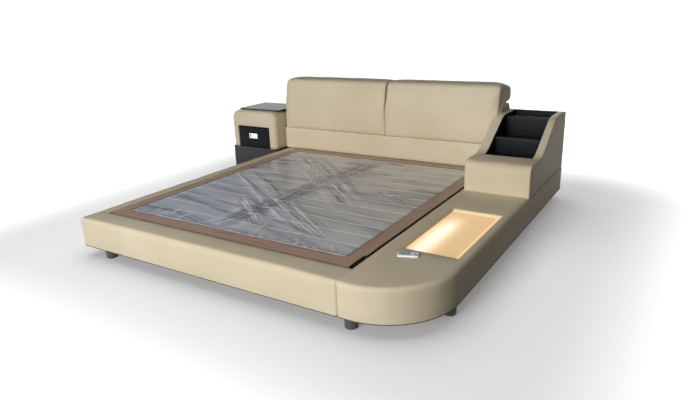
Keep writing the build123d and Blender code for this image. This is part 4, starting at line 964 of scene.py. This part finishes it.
def streaks(start, end, half_width, seed):
    """Painted highlight lines along the creases, painted shade lines beside them, and the strip from start to end
    that holds both.
    """
    a, b = Vector(start), Vector(end)
    middle, length = (a + b) / 2, (b - a).length
    strip = {"Vector": spot, "Location": (*middle, 0), "Rotation": (0, 0, math.atan2(b.y - a.y, b.x - a.x)),
             "Scale": (length / 2, half_width, 1)}
    place = add(tree, "ShaderNodeMapping", strip, vector_type="TEXTURE").outputs[0]
    axes = parts_of(tree, calculate(tree, "ABSOLUTE", place, kind="VectorMath"))
    inside_length, inside_width = ranged(tree, axes["X"], 1.02, 0.75), ranged(tree, axes["Y"], 1.1, 0.5)
    inside = calculate(tree, "MULTIPLY", inside_length, inside_width)
    stretched = calculate(tree, "MULTIPLY_ADD", place, (length * 0.3, half_width / 0.009, 1), (0, 0, seed),
                          kind="VectorMath")
    cloud = noise(tree, stretched, 1, 3, Roughness=0.6)
    pair = []
    for level, width in ((0.5, 0.028), (0.56, 0.03)):
        off = calculate(tree, "ABSOLUTE", calculate(tree, "SUBTRACT", cloud, level))
        pair.append(calculate(tree, "MULTIPLY", ranged(tree, off, width, 0.4 * width), inside))
    return *pair, inside


bright, dark = [], []
for number, (start, end, half_width) in enumerate(crease_bundles):
    crease_highlight, crease_shade, inside = streaks(start, end, half_width, 3.7 * number)
    # The middle bundle's whole strip is darkened as well.
    if number == middle_bundle:
        crease_shade = strongest(tree, calculate(tree, "MULTIPLY", inside, middle_dark_share), crease_shade)
    bright.append(crease_highlight)
    dark.append(crease_shade)

# A painted highlight marks each slat's front edge, where the film is pulled over it, broken here and there.
axes = parts_of(tree, spot)
turns = calculate(tree, "SUBTRACT", axes["Y"], slat_low.y - line_shift)
turns = calculate(tree, "DIVIDE", turns, slat_pitch)
off = calculate(tree, "ABSOLUTE", calculate(tree, "SUBTRACT", turns, calculate(tree, "ROUND", turns)))
slat_highlight = ranged(tree, off, line_width / slat_pitch, 0.4 * line_width / slat_pitch)
broken = ranged(tree, noise(tree, spot, 5, 3), 0.35, 0.55, 0.7)
slat_highlight = calculate(tree, "MULTIPLY", slat_highlight, broken)

# The film is cool and blue at the left front and warmer at the right rear, with dark patches.
lean = add(tree, "ShaderNodeVectorMath", {0: spot, 1: (0.55, 0.35, 0)}, operation="DOT_PRODUCT")
warm = ranged(tree, lean.outputs["Value"], -0.55, 0.5)
turned_and_squeezed = {"Vector": spot, "Rotation": (0, 0, -0.7), "Scale": (1.2, 7, 1)}
across_slats = add(tree, "ShaderNodeMapping", turned_and_squeezed)
along_slats = add(tree, "ShaderNodeMapping", {"Vector": spot, "Scale": (1.6, 16, 1)})
smear = add(tree, "ShaderNodeMix", {"Factor": warm, 4: along_slats.outputs[0], 5: across_slats.outputs[0]},
            data_type="VECTOR").outputs[1]
deep = ranged(tree, noise(tree, smear, 1, 4, Roughness=0.6), 0.45, 0.66, 0, 0.72)

# Painted shade darkens its front edge, and small painted glints lie along it.
edge_shade = ranged(tree, axes["Y"], film_low.y + 0.07, film_low.y, 0, 0.8)
painted_glint = ranged(tree, noise(tree, spot, 42, 2), 0.56, 0.64)
by_edge = ranged(tree, axes["Y"], film_low.y + 0.05, film_low.y + 0.01)
bright = strongest(tree, *bright, calculate(tree, "MULTIPLY", painted_glint, by_edge))
darker = strongest(tree, deep, *dark, edge_shade)
lines = strongest(tree, bright, slat_highlight)
shaded = blended(tree, darker, blended(tree, warm, linear("#D6DEEC"), linear("#F2EEE5")), linear("#2F3B57"))
milk = calculate(tree, "MULTIPLY_ADD", darker, 0.32, ranged(tree, warm, 0, 1, 0.8, 0.66))
connect(tree, main, Base_Color=blended(tree, lines, shaded, linear("#F4F3EE")),
        Alpha=calculate(tree, "ADD", milk, lines, use_clamp=True), Normal=bumped(tree, bright, 0.5, 0.002))
place_piece(film, "slat_base", wrapping, "clear_film", "dust_film")

# %% [markdown]
# ## Bedside cabinet
# A thick padded arch in beige leather stands over the drawer, with round shoulders and a soft front
# edge. It starts from a merged copy of the CAD part. The edge round the drawer is rounded, the arch
# is cut into strips, and its outer faces swell. The drawer's own front is a black padded board.

# %% Bedside cabinet
low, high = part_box("nightstand_arch")
front_low, front_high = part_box("drawer_front")
gap = 0.003
opening = (front_low.x - gap, front_high.x + gap, front_high.z + gap)
arch = merged_copy("nightstand_arch", "cabinet_arch_leather")
round_edges(arch, 0.005, 3, lambda p, d: near(p.y, low.y) and p.z > low.z + 0.002 and (
    (near(p.x, opening[0]) or near(p.x, opening[1])) and abs(d.z) > 0.9
    or near(p.z, opening[2]) and abs(d.x) > 0.9))
slice_evenly(arch, (0.026, 0.03, 0.026))


def arch_hold(places):
    """Only the outer faces swell, and not by the drawer's opening."""
    gap_x = np.maximum(opening[0] - places[:, 0], places[:, 0] - opening[1])
    outer = np.minimum.reduce([places[:, 0] - low.x, high.x - places[:, 0], high.z - places[:, 2]]) < 0.05
    outer |= places[:, 1] < low.y + 0.03
    return np.clip(np.maximum(gap_x, places[:, 2] - opening[2]) / 0.02, 0, 1) * outer


swell(arch, (0.002, 0.003, 0.004), power=4, waver=0.0004, wave=0.2, hold=arch_hold)
smooth(arch)
place_piece(arch, "bed_frame", beige_leather, "beige_leather", "nightstand_arch", fill=0.75)

front_setback = 0.002
panel = block("drawer_leather", front_low + Vector((0, front_setback, 0)), front_high)
round_edges(panel, 0.008, 5, lambda p, d: near(p.y, front_low.y + front_setback))
slice_evenly(panel, (0.02, 0, 0.016))
swell(panel, (0.002, 0.004, 0.002), power=3, waver=0.0006, wave=0.08,
      hold=lambda p: (p[:, 1] < front_high.y - 0.001).astype(float))
smooth(panel)
place_piece(panel, "drawer", black_leather, "black_leather", "drawer_front", fill=0.7)

# %% [markdown]
# ## Finishes of the hard parts
# Every CAD part that stays gets the finish of what it is made of. Long boards take the grain
# that runs along them.

# %% Finishes of the hard parts
finish_of = {
    "pine": pine_across, "brown_board": foil_along, "slat_wood": beech_slat, "black_board": black_laminate,
    "tray_enamel": enamel, "steel": zinc_steel, "black_steel": black_coat, "bright_metal": chrome,
    "frosted_glass": frosted_panel, "black_plastic": black_abs, "grey_plastic": grey_keys,
    "white_plastic": white_abs, "clear_film": wrapping, "dark_glass": tinted_glass,
    "clear_rubber": clear_rubber, "lamp_board": lamp_board, "beige_leather": beige_leather,
    "black_leather": black_leather}
own_finish = {"base_end_borders": foil_across, "feet": foot_rubber}
for long_part in ("left_rail_core", "platform_core", "base_spar", "middle_board", "wall_battens",
                  "storage_floor", "shelf_carcass"):
    own_finish[long_part] = pine_along
for part in frame["record"]["subparts"]:
    node = frame["nodes"][part["node"]]
    node.data.materials.clear()
    node.data.materials.append(own_finish.get(part["node"], finish_of[part["material_slot"]]))

# %% Close
seen_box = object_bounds()
growth = [b - a for a, b in zip([*cad_box[0], *cad_box[1]], [*seen_box[0], *seen_box[1]])]
print("grown by mm:", [round(1000 * value, 1) for value in growth])
